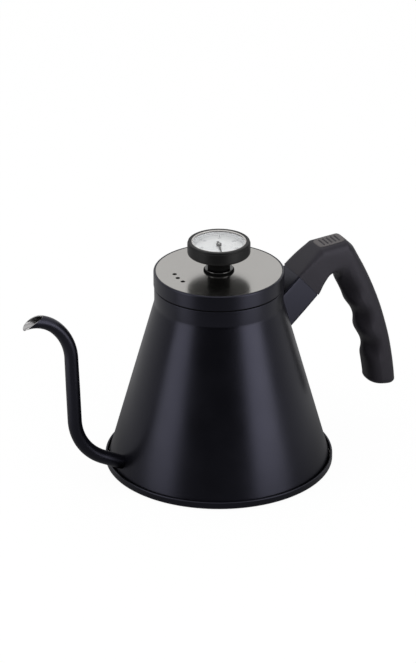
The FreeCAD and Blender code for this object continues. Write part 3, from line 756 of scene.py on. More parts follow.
@dataclass
class Spout:
    """Swan-necked tube from low on the body to a slanted beak.

    Each of its bends has a heading before it, a heading after it and a radius.
    """

    vessel: Vessel
    radius: float = 4.6
    tip_radius: float = 4.25
    taper_start: float = 0.55
    wall: float = 0.6
    root_x: float = -83.5
    root_z: float = 18.9
    root_length: float = 25.0
    root_search: float = 35.0
    riser_length: float = 44.8
    beak_start: float = -7.6
    beak_end: float = 5.7
    beak_trough: float = 1.05
    lip_round: float = 0.12
    bends: tuple[Triple, ...] = (
        (27.0, 88.0, 36.0), (88.0, 44.0, 35.0), (44.0, 0.0, 25.0), (0.0, -30.0, 20.0))
    samples: int = 4001
    rows: int = 220
    columns: int = 64

    def headings(self) -> tuple[np.ndarray, np.ndarray]:
        """Length along the centreline and heading there, at each joint of its runs and bends.

        Returns:
            Lengths and headings in degrees. Between them the heading changes evenly.
        """
        before, after, radii = np.array(self.bends).T
        arcs = np.radians(np.abs(after - before)) * radii
        steps = [0.0, self.root_length, arcs[0], self.riser_length, *arcs[1:]]
        return np.cumsum(steps), np.array([before[0], before[0], after[0], before[1], *after[1:]])

    def centreline(self) -> tuple[np.ndarray, np.ndarray, np.ndarray, float]:
        """Centreline as the running sum of its headings, going out along -x.

        Returns:
            Lengths, x, z and the length at which the centreline is highest.
        """
        lengths, degrees = self.headings()
        fine = np.linspace(0.0, lengths[-1], self.samples)
        angle = np.radians(np.interp((fine[1:] + fine[:-1]) / 2.0, lengths, degrees))
        step = np.diff(fine)
        across = np.concatenate([[0.0], np.cumsum(-np.cos(angle) * step)])
        up = np.concatenate([[0.0], np.cumsum(np.sin(angle) * step)])
        across = across - np.interp(self.root_length, fine, across) + self.root_x
        up = up - np.interp(self.root_length, fine, up) + self.root_z
        return fine, across, up, lengths[-2]

    def surface(self, along: np.ndarray, around: np.ndarray, inset: float) -> np.ndarray:
        """Points of the tube: the centreline plus its radius times a unit circle across it.

        Args:
            along: Lengths along the centreline.
            around: Angles round it, of the same shape.
            inset: How much smaller the radius is, for the bore.

        Returns:
            Places.
        """
        fine, across, up, crest = self.centreline()
        angle = np.radians(np.interp(along, *self.headings()))
        share = np.clip((along / crest - self.taper_start) / (1.0 - self.taper_start), 0.0, 1.0)
        size = self.radius + (self.tip_radius - self.radius) * share - inset
        lift = size * np.cos(around)
        return np.stack([np.interp(along, fine, across) + lift * np.sin(angle),
                         size * np.sin(around),
                         np.interp(along, fine, up) + lift * np.cos(angle)], axis=-1)

    def side(self, inset: float) -> np.ndarray:
        """One side of the tube's wall, as lines along the tube.

        Each line starts where it leaves the body. It ends between the beak's start, on top, and
        its lip, below, by a power of half of one minus the cosine of the angle round the tube,
        which opens the beak to a trough.

        Args:
            inset: How much smaller the radius is, for the bore.

        Returns:
            Places, ring by ring.
        """
        _, _, _, crest = self.centreline()
        around = full_turn(self.columns)
        opened = swell(around) ** self.beak_trough
        end = crest + self.beak_start + (self.beak_end - self.beak_start) * opened

        def within_body(along: np.ndarray) -> np.ndarray:
            """Whether the lines' points at these lengths are still inside the body."""
            return ~self.vessel.clear(self.surface(along, around, inset))

        start = settle(within_body, np.zeros(self.columns), np.full(self.columns, self.root_search))
        place = start + np.linspace(0.0, 1.0, self.rows)[:, None] * (end - start)
        return self.surface(place, np.broadcast_to(around, place.shape), inset)

    def build(self) -> None:
        """Make the tube: the lacquered outside runs out, over a rounded lip, and the bare bore back."""
        outside = self.side(0.0)
        bore = self.side(self.wall)
        heading = unit(outside[-1:] - outside[-2:-1])
        edge = (outside[-1:] + bore[-1:]) / 2.0 + self.lip_round * heading
        points = np.concatenate([outside, edge, bore[::-1]]).reshape(-1, 3)
        rows = 2 * self.rows + 1
        choice = np.repeat(np.arange(rows) >= self.rows - 1, self.columns)
        surface = (points, [grid_faces(rows, self.columns, True)])
        place_piece("spout", surface, [LACQUER, PICKLED], Body.KETTLE, ["spout_tube"], choice)


@dataclass
class Lid:
    """Coated skirt with a brushed plate let into it, on a silicone gasket."""

    radius: float = 42.4
    wall: float = 1.4
    seat: float = 126.3
    height: float = 10.0
    bore: float = 39.4
    plate_bottom: float = 135.1
    web: float = 1.0
    ledge: float = 2.2
    edge_round: float = 0.2
    foot_round: float = 0.25
    top_round: float = 0.95
    lip_round: float = 0.3
    columns: int = 224

    def build(self) -> None:
        """Make the skirt and dress the packed plate, insert and gasket."""
        inside = self.radius - self.wall
        top = self.seat + self.height
        outline = eased([
            (self.bore, self.seat, self.edge_round),
            (self.radius, self.seat, self.foot_round),
            (self.radius, top, self.top_round),
            (inside, top, self.lip_round),
            (inside, self.plate_bottom, 0.0),
            (inside - self.ledge, self.plate_bottom, 0.0),
            (inside - self.ledge, self.plate_bottom - self.web, self.edge_round),
            (inside, self.plate_bottom - self.web, self.edge_round),
            (inside, self.seat + self.web, self.edge_round),
            (self.bore, self.seat + self.web, self.edge_round),
        ])
        place_piece("lid_rim", turned(outline, self.columns), [LACQUER], Body.LID, ["lid_skirt"])
        dress(BRUSHED, "lid_plate")
        dress(BARE, "lid_insert")
        dress(SILICONE, "lid_gasket")


@dataclass
class Scale:
    """The dial's print: fine and long ticks round it, and plain numbers inside the long ones.

    Pairs give the long ticks' measure and then the fine ticks'.
    """

    dial_top: float
    start: float = -135.0
    end: float = 135.0
    ticks: int = 51
    long_every: int = 10
    tick_inner: Span = (13.6, 14.7)
    tick_half: Span = (0.22, 0.11)
    tick_outer: float = 15.9
    tick_sink: float = 0.03
    tick_height: float = 0.07
    last_number: float = 100.0
    numbers: int = 6
    number_size: float = 2.7
    number_depth: float = 0.03
    number_radius: float = 11.6
    weld: float = 0.001

    def angles(self, count: int) -> np.ndarray:
        """Even steps of angle from the scale's start to its end."""
        return np.radians(np.linspace(self.start, self.end, count))

    def print_ticks(self) -> None:
        """Make the ticks as thin plates fanned about the dial's middle.

        Tick k lies at an even step of angle from the scale's start. Its four corners are a
        rectangle from an inner to an outer radius, turned by that angle.
        """
        angle = self.angles(self.ticks)[:, None]
        is_long = np.arange(self.ticks) % self.long_every == 0
        inner = np.where(is_long, *self.tick_inner)
        half = np.where(is_long, *self.tick_half)
        outer = np.full(self.ticks, self.tick_outer)
        across = np.stack([-half, half, half, -half], axis=-1)
        out = np.stack([inner, inner, outer, outer], axis=-1)
        flat_x = across * np.cos(angle) + out * np.sin(angle)
        flat_y = -across * np.sin(angle) + out * np.cos(angle)
        low = np.stack([flat_x, flat_y, np.full_like(flat_x, self.dial_top - self.tick_sink)], axis=-1)
        high = low + np.array([0.0, 0.0, self.tick_height])
        points = np.concatenate([low, high], axis=1).reshape(-1, 3)
        box = np.concatenate([[[3, 2, 1, 0], [4, 5, 6, 7]], grid_faces(2, 4, False)])
        first = 2 * across.shape[1] * np.arange(self.ticks)
        faces = (box[None, :, :] + first[:, None, None]).reshape(-1, 4)
        place_piece("dial_scale", (points, [faces]), [PALE_INK], Body.LID, [])

    def written(self, text: str, angle: float) -> bpy.types.Mesh:
        """One number as a thin solid in its place on the dial.

        Args:
            text: The number.
            angle: Its angle on the scale.

        Returns:
            A mesh in metres.
        """
        curve = bpy.data.curves.new("number", "FONT")
        curve.body = text
        curve.size = self.number_size * MM
        curve.align_x = "CENTER"
        curve.align_y = "CENTER"
        curve.extrude = self.number_depth * MM
        holder = bpy.data.objects.new("number", curve)
        shape = bpy.data.meshes.new_from_object(holder)
        place = Vector((math.sin(angle), math.cos(angle), 0.0)) * self.number_radius
        place.z = self.dial_top
        shape.transform(Matrix.Translation(place * MM))
        bpy.data.objects.remove(holder)
        bpy.data.curves.remove(curve)
        return shape

    def print_numbers(self) -> None:
        """Make the numbers as one piece, with a closed mesh of triangles for each figure."""
        joined = bmesh.new()
        values = np.linspace(0.0, self.last_number, self.numbers)
        for value, angle in zip(values, self.angles(self.numbers)):
            shape = self.written(f"{value:.0f}", angle)
            joined.from_mesh(shape)
            bpy.data.meshes.remove(shape)
        bmesh.ops.remove_doubles(joined, verts=joined.verts, dist=self.weld * MM)
        bmesh.ops.recalc_face_normals(joined, faces=joined.faces)
        bmesh.ops.triangulate(joined, faces=joined.faces)
        mesh = bpy.data.meshes.new("numbers")
        joined.to_mesh(mesh)
        joined.free()
        points = np.empty(3 * len(mesh.vertices), dtype=np.float32)
        mesh.vertices.foreach_get("co", points)
        faces = np.empty(len(mesh.loops), dtype=np.int32)
        mesh.loops.foreach_get("vertex_index", faces)
        bpy.data.meshes.remove(mesh)
        surface = (points.reshape(-1, 3).astype(float) / MM, [faces.reshape(-1, 3)])
        place_piece("dial_numbers", surface, [PALE_INK], Body.LID, [])


@dataclass
class Thermometer:
    """The dial thermometer that is the lid's knob, with its stem and probe."""

    plate_top: float = 136.1
    hole: float = 5.1
    seal_radius: float = 10.0
    seal_top: float = 137.1
    seal_round: float = 0.4
    washer_radius: float = 9.2
    washer_top: float = 137.9
    washer_rounds: Span = (0.25, 0.12)
    stem_radius: float = 7.3
    stem_round: float = 0.5
    housing_bottom: float = 147.6
    housing_top: float = 155.5
    housing_radius: float = 20.4
    housing_rounds: Span = (1.8, 0.5)
    bore: float = 18.8
    bore_round: float = 0.3
    dial_bottom: float = 152.0
    dial_top: float = 152.6
    ledge_radius: float = 16.5
    sleeve_seat: float = 149.2
    lens_bottom: float = 154.8
    lens_top: float = 156.0
    lens_crown: float = 0.45
    lens_sink: float = 0.02
    lens_gap: float = 0.1
    lens_rows: int = 40
    bezel_radius: float = 20.0
    bezel_inner: float = 16.9
    bezel_top: float = 156.6
    bezel_round: float = 0.45
    lip_width: float = 0.75
    lip_slope: float = 0.3
    lip_edge: float = 0.15
    lip_round: float = 0.2
    columns: int = 160

    def lathe(self, name: str, corners: Sequence[Triple], finish: Finish, node: str) -> None:
        """Make one turned piece of the knob.

        Args:
            name: The piece's name.
            corners: Its outline.
            finish: Its finish.
            node: The solid that it stands for.
        """
        place_piece(name, turned(eased(corners), self.columns), [finish], Body.LID, [node])

    def build(self) -> None:
        """Make the knob's visible rings and the dial's scale, and dress the rest."""
        rings = (
            ("seal_ring", "stem_seal", SILICONE, self.seal_radius, self.plate_top, self.seal_top,
             (0.0, self.seal_round)),
            ("washer", "stem_washer", BLACKENED, self.washer_radius, self.seal_top, self.washer_top,
             self.washer_rounds),
            ("stem", "knob_stem", MATT_PHENOLIC, self.stem_radius, self.washer_top, self.housing_bottom,
             (self.stem_round, 0.0)),
        )
        for name, node, finish, radius, bottom, top, (low, high) in rings:
            self.lathe(name, [
                (self.hole, bottom, 0.0), (radius, bottom, low),
                (radius, top, high), (self.hole, top, 0.0)], finish, node)
        self.lathe("housing", [
            (self.hole, self.housing_bottom, 0.0),
            (self.housing_radius, self.housing_bottom, self.housing_rounds[0]),
            (self.housing_radius, self.housing_top, self.housing_rounds[1]),
            (self.bore, self.housing_top, 0.0),
            (self.bore, self.dial_bottom, 0.0),
            (self.ledge_radius, self.dial_bottom, 0.0),
            (self.ledge_radius, self.sleeve_seat, self.bore_round),
            (self.hole, self.sleeve_seat, 0.0),
        ], PHENOLIC, "gauge_housing")
        self.bezel()
        scale = Scale(self.dial_top)
        scale.print_ticks()
        scale.print_numbers()
        dress(ENAMEL, "dial_plate", "dial_spacer")
        dress(POLISHED, "lock_washer", "sleeve_nut", "gauge_sleeve")
        dress(SILICONE, "lens_gasket")
        self.lens()
        dress(INK, "pointer_hand")
        dress(BARE, "probe_tube", "probe_tip", "pointer_shaft")
        dress(BRONZE, "shaft_bush")
        dress(BIMETAL, "bimetal_coil")

    def bezel(self) -> None:
        """Make the bezel: black outside, with a polished lip that slopes in to the lens."""
        lip = self.bezel_inner + self.lip_width
        points, faces = turned(eased([
            (self.bezel_radius, self.housing_top, 0.0),
            (self.bezel_radius, self.bezel_top, self.bezel_round),
            (lip, self.bezel_top, 0.0),
            (self.bezel_inner + self.lip_slope, self.bezel_top, self.lip_round),
            (self.bezel_inner, self.lens_top + self.lip_edge, 0.0),
            (self.bezel_inner, self.lens_top, 0.0),
            (self.bore, self.lens_top, 0.0),
            (self.bore, self.housing_top, 0.0),
        ]), self.columns)
        middle = points[faces[0]].mean(axis=1)
        choice = (off_axis(middle) < lip) & (middle[:, 2] > self.lens_top)
        place_piece("bezel", (points, faces), [PHENOLIC, POLISHED], Body.LID, ["gauge_bezel"], choice)

    def lens(self) -> None:
        """Make the lens: flat below, and above sinking as the square of the distance from the axis."""
        share = np.linspace(0.0, 1.0, self.lens_rows)
        distance = (self.bore - self.lens_gap) * share
        rise = self.lens_top - self.lens_sink + self.lens_crown * (1.0 - share ** 2)
        crown = np.column_stack([distance, rise])
        under = np.column_stack([distance[::-1], np.full(self.lens_rows, self.lens_bottom)])
        surface = dished(np.concatenate([crown, under]), self.columns)
        place_piece("lens", surface, [GLASS], Body.LID, ["gauge_lens"])


@dataclass
class ThumbPad:
    """Soft tablet on the thumb rest, with grooves across it.

    Its heights are measured from the line between its two ends, and top_rows run between the two
    shares of its size in top.
    """

    start: Span = (70.0, 140.7)
    end: Span = (89.7, 142.7)
    width: float = 13.0
    gap: float = 0.15
    corner_power: float = 5.0
    root: float = -1.3
    shoulder: float = -0.2
    lift: float = 0.55
    crown: float = 0.12
    edge: Span = (0.005, 0.07)
    edge_rows: int = 5
    top: Span = (0.9, 0.02)
    top_rows: int = 60
    columns: int = 240
    grooves: int = 5
    groove_reach: float = 5.6
    groove_half: float = 0.55
    groove_end: float = 4.2
    groove_fade: float = 0.18
    groove_depth: float = 1.1
    groove_limit: float = 0.99

    def build(self) -> None:
        """Make the pad: a rounded tablet whose top swells slightly, with grooves in it.

        Round the tablet the rim is a superellipse. From the rim inwards the height rises in a
        quarter round, and a groove is a flat-topped bell curve along the pad, faded at its ends.
        """
        start = np.array(self.start)
        end = np.array(self.end)
        length = float(np.linalg.norm(end - start))
        along = unit(end - start)
        up = np.array([-along[1], along[0]])
        cos = np.cos(full_turn(self.columns))
        sin = np.sin(full_turn(self.columns))
        power = self.corner_power
        reach = (np.abs(cos) ** power + np.abs(sin) ** power) ** (-1.0 / power)
        share = np.concatenate([
            [1.0, 1.0],
            1.0 - np.linspace(*self.edge, self.edge_rows),
            np.linspace(*self.top, self.top_rows),
        ])[:, None]
        flat_x = share * reach * cos * (length / 2.0 - self.gap)
        flat_y = share * reach * sin * (self.width / 2.0 - self.gap)
        outwards = np.clip((share - 1.0) / self.edge[1] + 1.0, 0.0, 1.0)
        height = self.shoulder + self.lift * np.sqrt(1.0 - outwards ** 2) + self.crown * (1.0 - share ** 2)
        height = np.broadcast_to(height, flat_x.shape).copy()
        height[0] = self.root
        places = np.linspace(-self.groove_reach, self.groove_reach, self.grooves)
        groove = sum(np.exp(-((flat_x - place) / self.groove_half) ** 4) for place in places)
        fade = 1.0 / (1.0 + np.exp((np.abs(flat_y) - self.groove_end) / self.groove_fade))
        height = height - self.groove_depth * groove * fade * (share < self.groove_limit)
        flat = (start + end) / 2.0 + flat_x[..., None] * along + height[..., None] * up
        surface = stacked(np.stack([flat[..., 0], flat_y, flat[..., 1]], axis=-1))
        # The pad's light grey finish is partly painted light: the light from above on its upward face.
        place_piece("thumb_rest", surface, [RUBBER], Body.KETTLE, ["thumb_pad"], crease=60.0)


@dataclass
class Handle:
    """Bracket on the body, and the moulded grip with its soft thumb pad.

    Pairs that start with back_ hold a value for the upper and the lower end of the grip's back.
    """

    vessel: Vessel
    pad: ThumbPad = field(default_factory=ThumbPad)
    slope: float = 42.0
    seam: Span = (67.1, 109.4)
    seam_depth: float = 22.0
    seam_gap: float = 0.5
    seam_neck: float = 0.975
    arm_width: float = 23.0
    arm_power: float = 40.0
    arm_bevel: float = 0.2
    root_width: float = 26.0
    root_reach: float = 45.0
    step: float = 0.3
    groove_depth: float = 0.55
    groove_spread: float = 0.02
    groove_window: float = 0.09
    groove_columns: int = 25
    bracket_rows: int = 38
    grip_width: float = 22.0
    grip_depth: float = 20.2
    depth_loss: float = 1.4
    back: tuple[Span, Span, Span] = ((95.5, 136.0), (116.6, 88.4), (127.8, 31.0))
    back_power: Span = (9.0, 6.0)
    back_bevel: Span = (3.2, 1.4)
    back_stations: int = 40
    inner_power: float = 2.4
    inner_window: float = 5.0
    outer_window: float = 1.0
    outer_blend: float = 0.3
    first_place: float = 15.0
    fingers: int = 2
    finger_recess: float = 1.8
    finger_dimple: float = 0.42
    finger_lag: float = 0.15
    finger_pitch: float = 26.5
    first_ridge: float = 34.0
    first_peak: float = -0.5
    dimple_place: float = -0.95
    dimple_spread: float = 0.62
    start_shares: Span = (0.4, 0.97)
    end_shares: Span = (0.62, 0.3)
    end_round: float = 4.0
    end_reach: float = 9.0
    end_turn: Span = (12.0, 90.0)
    end_rows: int = 8
    end_lean: float = 6.0
    rows: int = 220
    columns: int = 144

    def sections(
        self,
        inner: np.ndarray,
        outer: np.ndarray,
        width: np.ndarray,
        power: np.ndarray,
        inner_power: np.ndarray,
        bevel: np.ndarray,
        dimple: np.ndarray,
        around: np.ndarray,
    ) -> np.ndarray:
        """Rings of rounded, bevelled rectangles across the handle.

        Each section is a polygon with soft corners: in a direction u its reach is the inverse of
        the p-norm of all the values (n . u) / d, where n and d are the normal and distance of a
        side that u points at. The sides are the two faces, the two edges and the outer bevels. A
        dimple then draws both faces in by a bell curve of the place between inner and outer edge.

        Args:
            inner: Points (x, z) on the handle's inner edge, one for each ring.
            outer: Points on its outer edge.
            width: Width of each ring.
            power: p of each ring's outer half. A higher one gives sharper corners.
            inner_power: p of its inner half.
            bevel: Leg of the bevels at the outer corners.
            dimple: Share of the width that the faces are drawn in.
            around: Angles round a ring, 0 towards the outer edge.

        Returns:
            Places, ring by ring.
        """
        middle = (inner + outer) / 2.0
        axis = unit(outer - inner)
        half_depth = np.linalg.norm(outer - inner, axis=1) / 2.0
        half_width = width / 2.0
        reach = half_depth + half_width
        cos = np.cos(around)[None, :]
        sin = np.sin(around)[None, :]
        share = np.clip((cos + self.outer_blend) / (2.0 * self.outer_blend), 0.0, 1.0)
        outward = share * share * (3.0 - 2.0 * share)
        norm = inner_power[:, None] + (power - inner_power)[:, None] * outward
        sides = [
            (cos, half_depth), (-cos, half_depth), (sin, half_width), (-sin, half_width),
            (outward * (cos + sin), reach - bevel), (outward * (cos - sin), reach - bevel)]
        total = sum(np.maximum(facing / distance[:, None], 0.0) ** norm for facing, distance in sides)
        ray = total ** (-1.0 / norm)
        out = ray * cos
        flat = middle[:, None, :] + out[:, :, None] * axis[:, None, :]
        drawn = bell(out / half_depth[:, None] - self.dimple_place, self.dimple_spread)
        side = ray * sin * (1.0 - dimple[:, None] * drawn)
        return np.stack([flat[:, :, 0], side, flat[:, :, 1]], axis=-1)

    def back_arc(self, places: np.ndarray) -> tuple[np.ndarray, np.ndarray, float]:
        """Points on the grip's back, the circle through its three points.

        Args:
            places: Lengths along the arc from its upper end.

        Returns:
            Points (x, z), the unit vectors towards the circle's centre, and the arc's length.
        """
        first, second, third = (np.array(point) for point in self.back)
        sides = 2.0 * np.array([second - first, third - first])
        centre = np.linalg.solve(sides, [second @ second - first @ first, third @ third - first @ first])
        radius = float(np.linalg.norm(first - centre))
        start = math.atan2(first[1] - centre[1], first[0] - centre[0])
        end = math.atan2(third[1] - centre[1], third[0] - centre[0])
        angle = start + np.sign(end - start) * places / radius
        inward = -np.stack([np.cos(angle), np.sin(angle)], axis=-1)
        return centre - radius * inward, inward, radius * abs(end - start)

    def grip_stations(self) -> tuple[np.ndarray, np.ndarray]:
        """Stations along the grip: the seam, the thumb rest and the run down the back's arc.

        Returns:
            Rows of inner x, inner z, outer x, outer z, width, outer and inner sharpness, outer
            bevel and place on the back's arc, and the stations' growing places along the handle.
        """
        lean = math.radians(self.slope + 90.0)
        head = np.array(self.seam) + self.seam_depth * np.array([math.cos(lean), math.sin(lean)])
        thumb = np.array([
            [*self.seam, *head, self.arm_width, self.arm_power, self.arm_power, self.arm_bevel, 0.0],
            [71.6, 117.4, 60.9, 133.4, self.arm_width, 24.0, 24.0, 1.1, 0.0],
            [75.6, 121.4, *self.pad.start, self.grip_width, 16.0, 12.0, 2.4, 0.0],
            [79.6, 122.2, 80.0, 141.8, self.grip_width, 14.0, 6.0, 2.8, 0.0],
            [83.0, 120.4, *self.pad.end, self.grip_width, 12.0, 4.0, 2.8, 2.0],
            [85.2, 116.8, 94.4, 138.0, self.grip_width, 10.0, 3.2, 3.0, 7.0],
        ])
        count = self.back_stations
        _, _, length = self.back_arc(np.zeros(1))
        places = np.linspace(self.first_place, length - self.end_round, count)
        outer, inward, _ = self.back_arc(places)
        share = ((places - self.first_place) / (length - self.first_place))[:, None]
        upward = np.stack([inward[:, 1], -inward[:, 0]], axis=-1)
        inner = outer + inward * (self.grip_depth - self.depth_loss * share)
        inner = inner + upward * self.end_lean * share ** 3
        plain = np.column_stack([
            inner, outer, np.full(count, self.grip_width), np.linspace(*self.back_power, count),
            np.full(count, self.inner_power), np.linspace(*self.back_bevel, count), places])
        stations = np.concatenate([thumb, plain])
        middle = (stations[:, 0:2] + stations[:, 2:4]) / 2.0
        knots = np.concatenate([[0.0], np.cumsum(np.linalg.norm(np.diff(middle, axis=0), axis=1))])
        return stations, knots

    def grip(self) -> None:
        """Make the grip: its stations joined by a smooth curve, with finger scoops inside.

        A scoop is half of one minus the cosine of the place along the back, counted in pitches
        from the first ridge. It pulls the inner edge outwards and, a little later, dimples the two
        faces. The dimple above the first ridge is drawn out from its peak up to the seam.
        """
        stations, knots = self.grip_stations()
        along = np.linspace(0.0, knots[-1], self.rows)
        rows = rounded_through(stations, knots, along, self.inner_window)
        outer = rounded_through(stations[:, 2:4], knots, along, self.outer_window)
        inner = rows[:, 0:2]
        place = (rows[:, 8] - self.first_ridge) / self.finger_pitch
        scoop = np.where((place > 0.0) & (place < self.fingers), swell(2.0 * np.pi * place), 0.0)
        inner = inner + unit(outer - inner) * (self.finger_recess * scoop)[:, None]
        touch = place - self.finger_lag
        drawn_out = (touch - touch.min()) / (self.first_peak - touch.min())
        phase = np.pi * np.where(touch < self.first_peak, drawn_out, 2.0 * touch)
        dimple = self.finger_dimple * np.where(touch < self.fingers, swell(phase), 0.0)
        rings = self.sections(inner, outer, *rows[:, 4:8].T, dimple, full_turn(self.columns))
        lean = unit(outer[-1] - inner[-1])
        down = np.array([lean[1], 0.0, -lean[0]])
        turn = np.radians(np.linspace(*self.end_turn, self.end_rows))
        shares = 1.0 - self.end_round / self.end_reach * (1.0 - np.cos(turn))
        cap = shrunk(rings[-1], shares) + self.end_round * np.sin(turn)[:, None, None] * down
        start = shrunk(rings[0], self.start_shares)
        surface = stacked(np.concatenate([start, rings, cap, shrunk(cap[-1], self.end_shares)]))
        place_piece("grip", surface, [NYLON], Body.KETTLE, ["handle_grip"], crease=50.0)

    def bracket(self) -> None:
        """Make the bracket: rounded sections along the arm, started where each line leaves the body.

        Its two upper edges carry a narrow groove, where the reach of a section dips by a bell
        curve of the angle round it. It ends in a smaller neck, which leaves a dark line before
        the grip.
        """
        slope = math.radians(self.slope)
        along = np.array([math.cos(slope), math.sin(slope)])
        up = np.array([-along[1], along[0]])
        corner = math.atan2(self.arm_width, self.seam_depth)
        corners = np.array([[corner], [2.0 * np.pi - corner]])
        fine = np.linspace(-self.groove_window, self.groove_window, self.groove_columns)
        around = np.unique(np.concatenate([full_turn(self.columns), (corners + fine).ravel()]))
        dip = self.groove_depth * bell(around - corners, self.groove_spread).sum(axis=0)
        count = len(around)
        foot = np.array(self.seam) + up * self.step
        depth = self.seam_depth - 2.0 * self.step

        def lines(back: np.ndarray) -> np.ndarray:
            """Points of the lines at a distance back from the seam, one for each angle."""
            inner = foot - back[:, None] * along
            widening = (self.root_width - self.arm_width) * back / self.root_reach
            width = self.arm_width + widening - 2.0 * self.step
            sharp = np.full(count, self.arm_power)
            rings = self.sections(inner, inner + up * depth, width, sharp, sharp,
                                  np.full(count, self.arm_bevel), np.zeros(count), around)
            points = rings[np.arange(count), np.arange(count)]
            middle = inner + up * depth / 2.0
            centre = np.stack([middle[:, 0], np.zeros(count), middle[:, 1]], axis=-1)
            return points - unit(points - centre) * dip[:, None]

        def clear_of_body(back: np.ndarray) -> np.ndarray:
            """Whether the lines' points are still outside the body."""
            return self.vessel.clear(lines(back))

        root = settle(clear_of_body, np.zeros(count), np.full(count, self.root_reach))
        shares = np.linspace(0.0, 1.0, self.bracket_rows)[:, None]
        rings = np.stack([lines(back) for back in root + (self.seam_gap - root) * shares])
        neck = shrunk(rings[-1], [self.seam_neck])
        run = np.array([along[0], 0.0, along[1]]) * self.seam_gap
        surface = stacked(np.concatenate([rings, neck, neck + run]))
        place_piece("bracket", surface, [LACQUER], Body.KETTLE, ["handle_bracket"])

    def build(self) -> None:
        """Make the handle's visible pieces and dress the rest."""
        self.bracket()
        self.grip()
        self.pad.build()
        dress(BARE, "handle_tongue")
        dress(POLISHED, "handle_screws")


@dataclass(frozen=True)
class Lamp:
    """A soft rectangular lamp that faces the kettle.

    It stands a turn to the right of the camera and a lift above the floor, both in degrees, and
    metres away. A glow of 1 makes its face white. Where mirrored is set, the floor shows
    glossy rays a painted reflection of it: an emitted image of the lamp.
    """

    name: str
    turn: float
    lift: float
    away: float
    width: float
    height: float
    glow: float
    # Whether the floor shows a painted reflection of this lamp.
    mirrored: bool


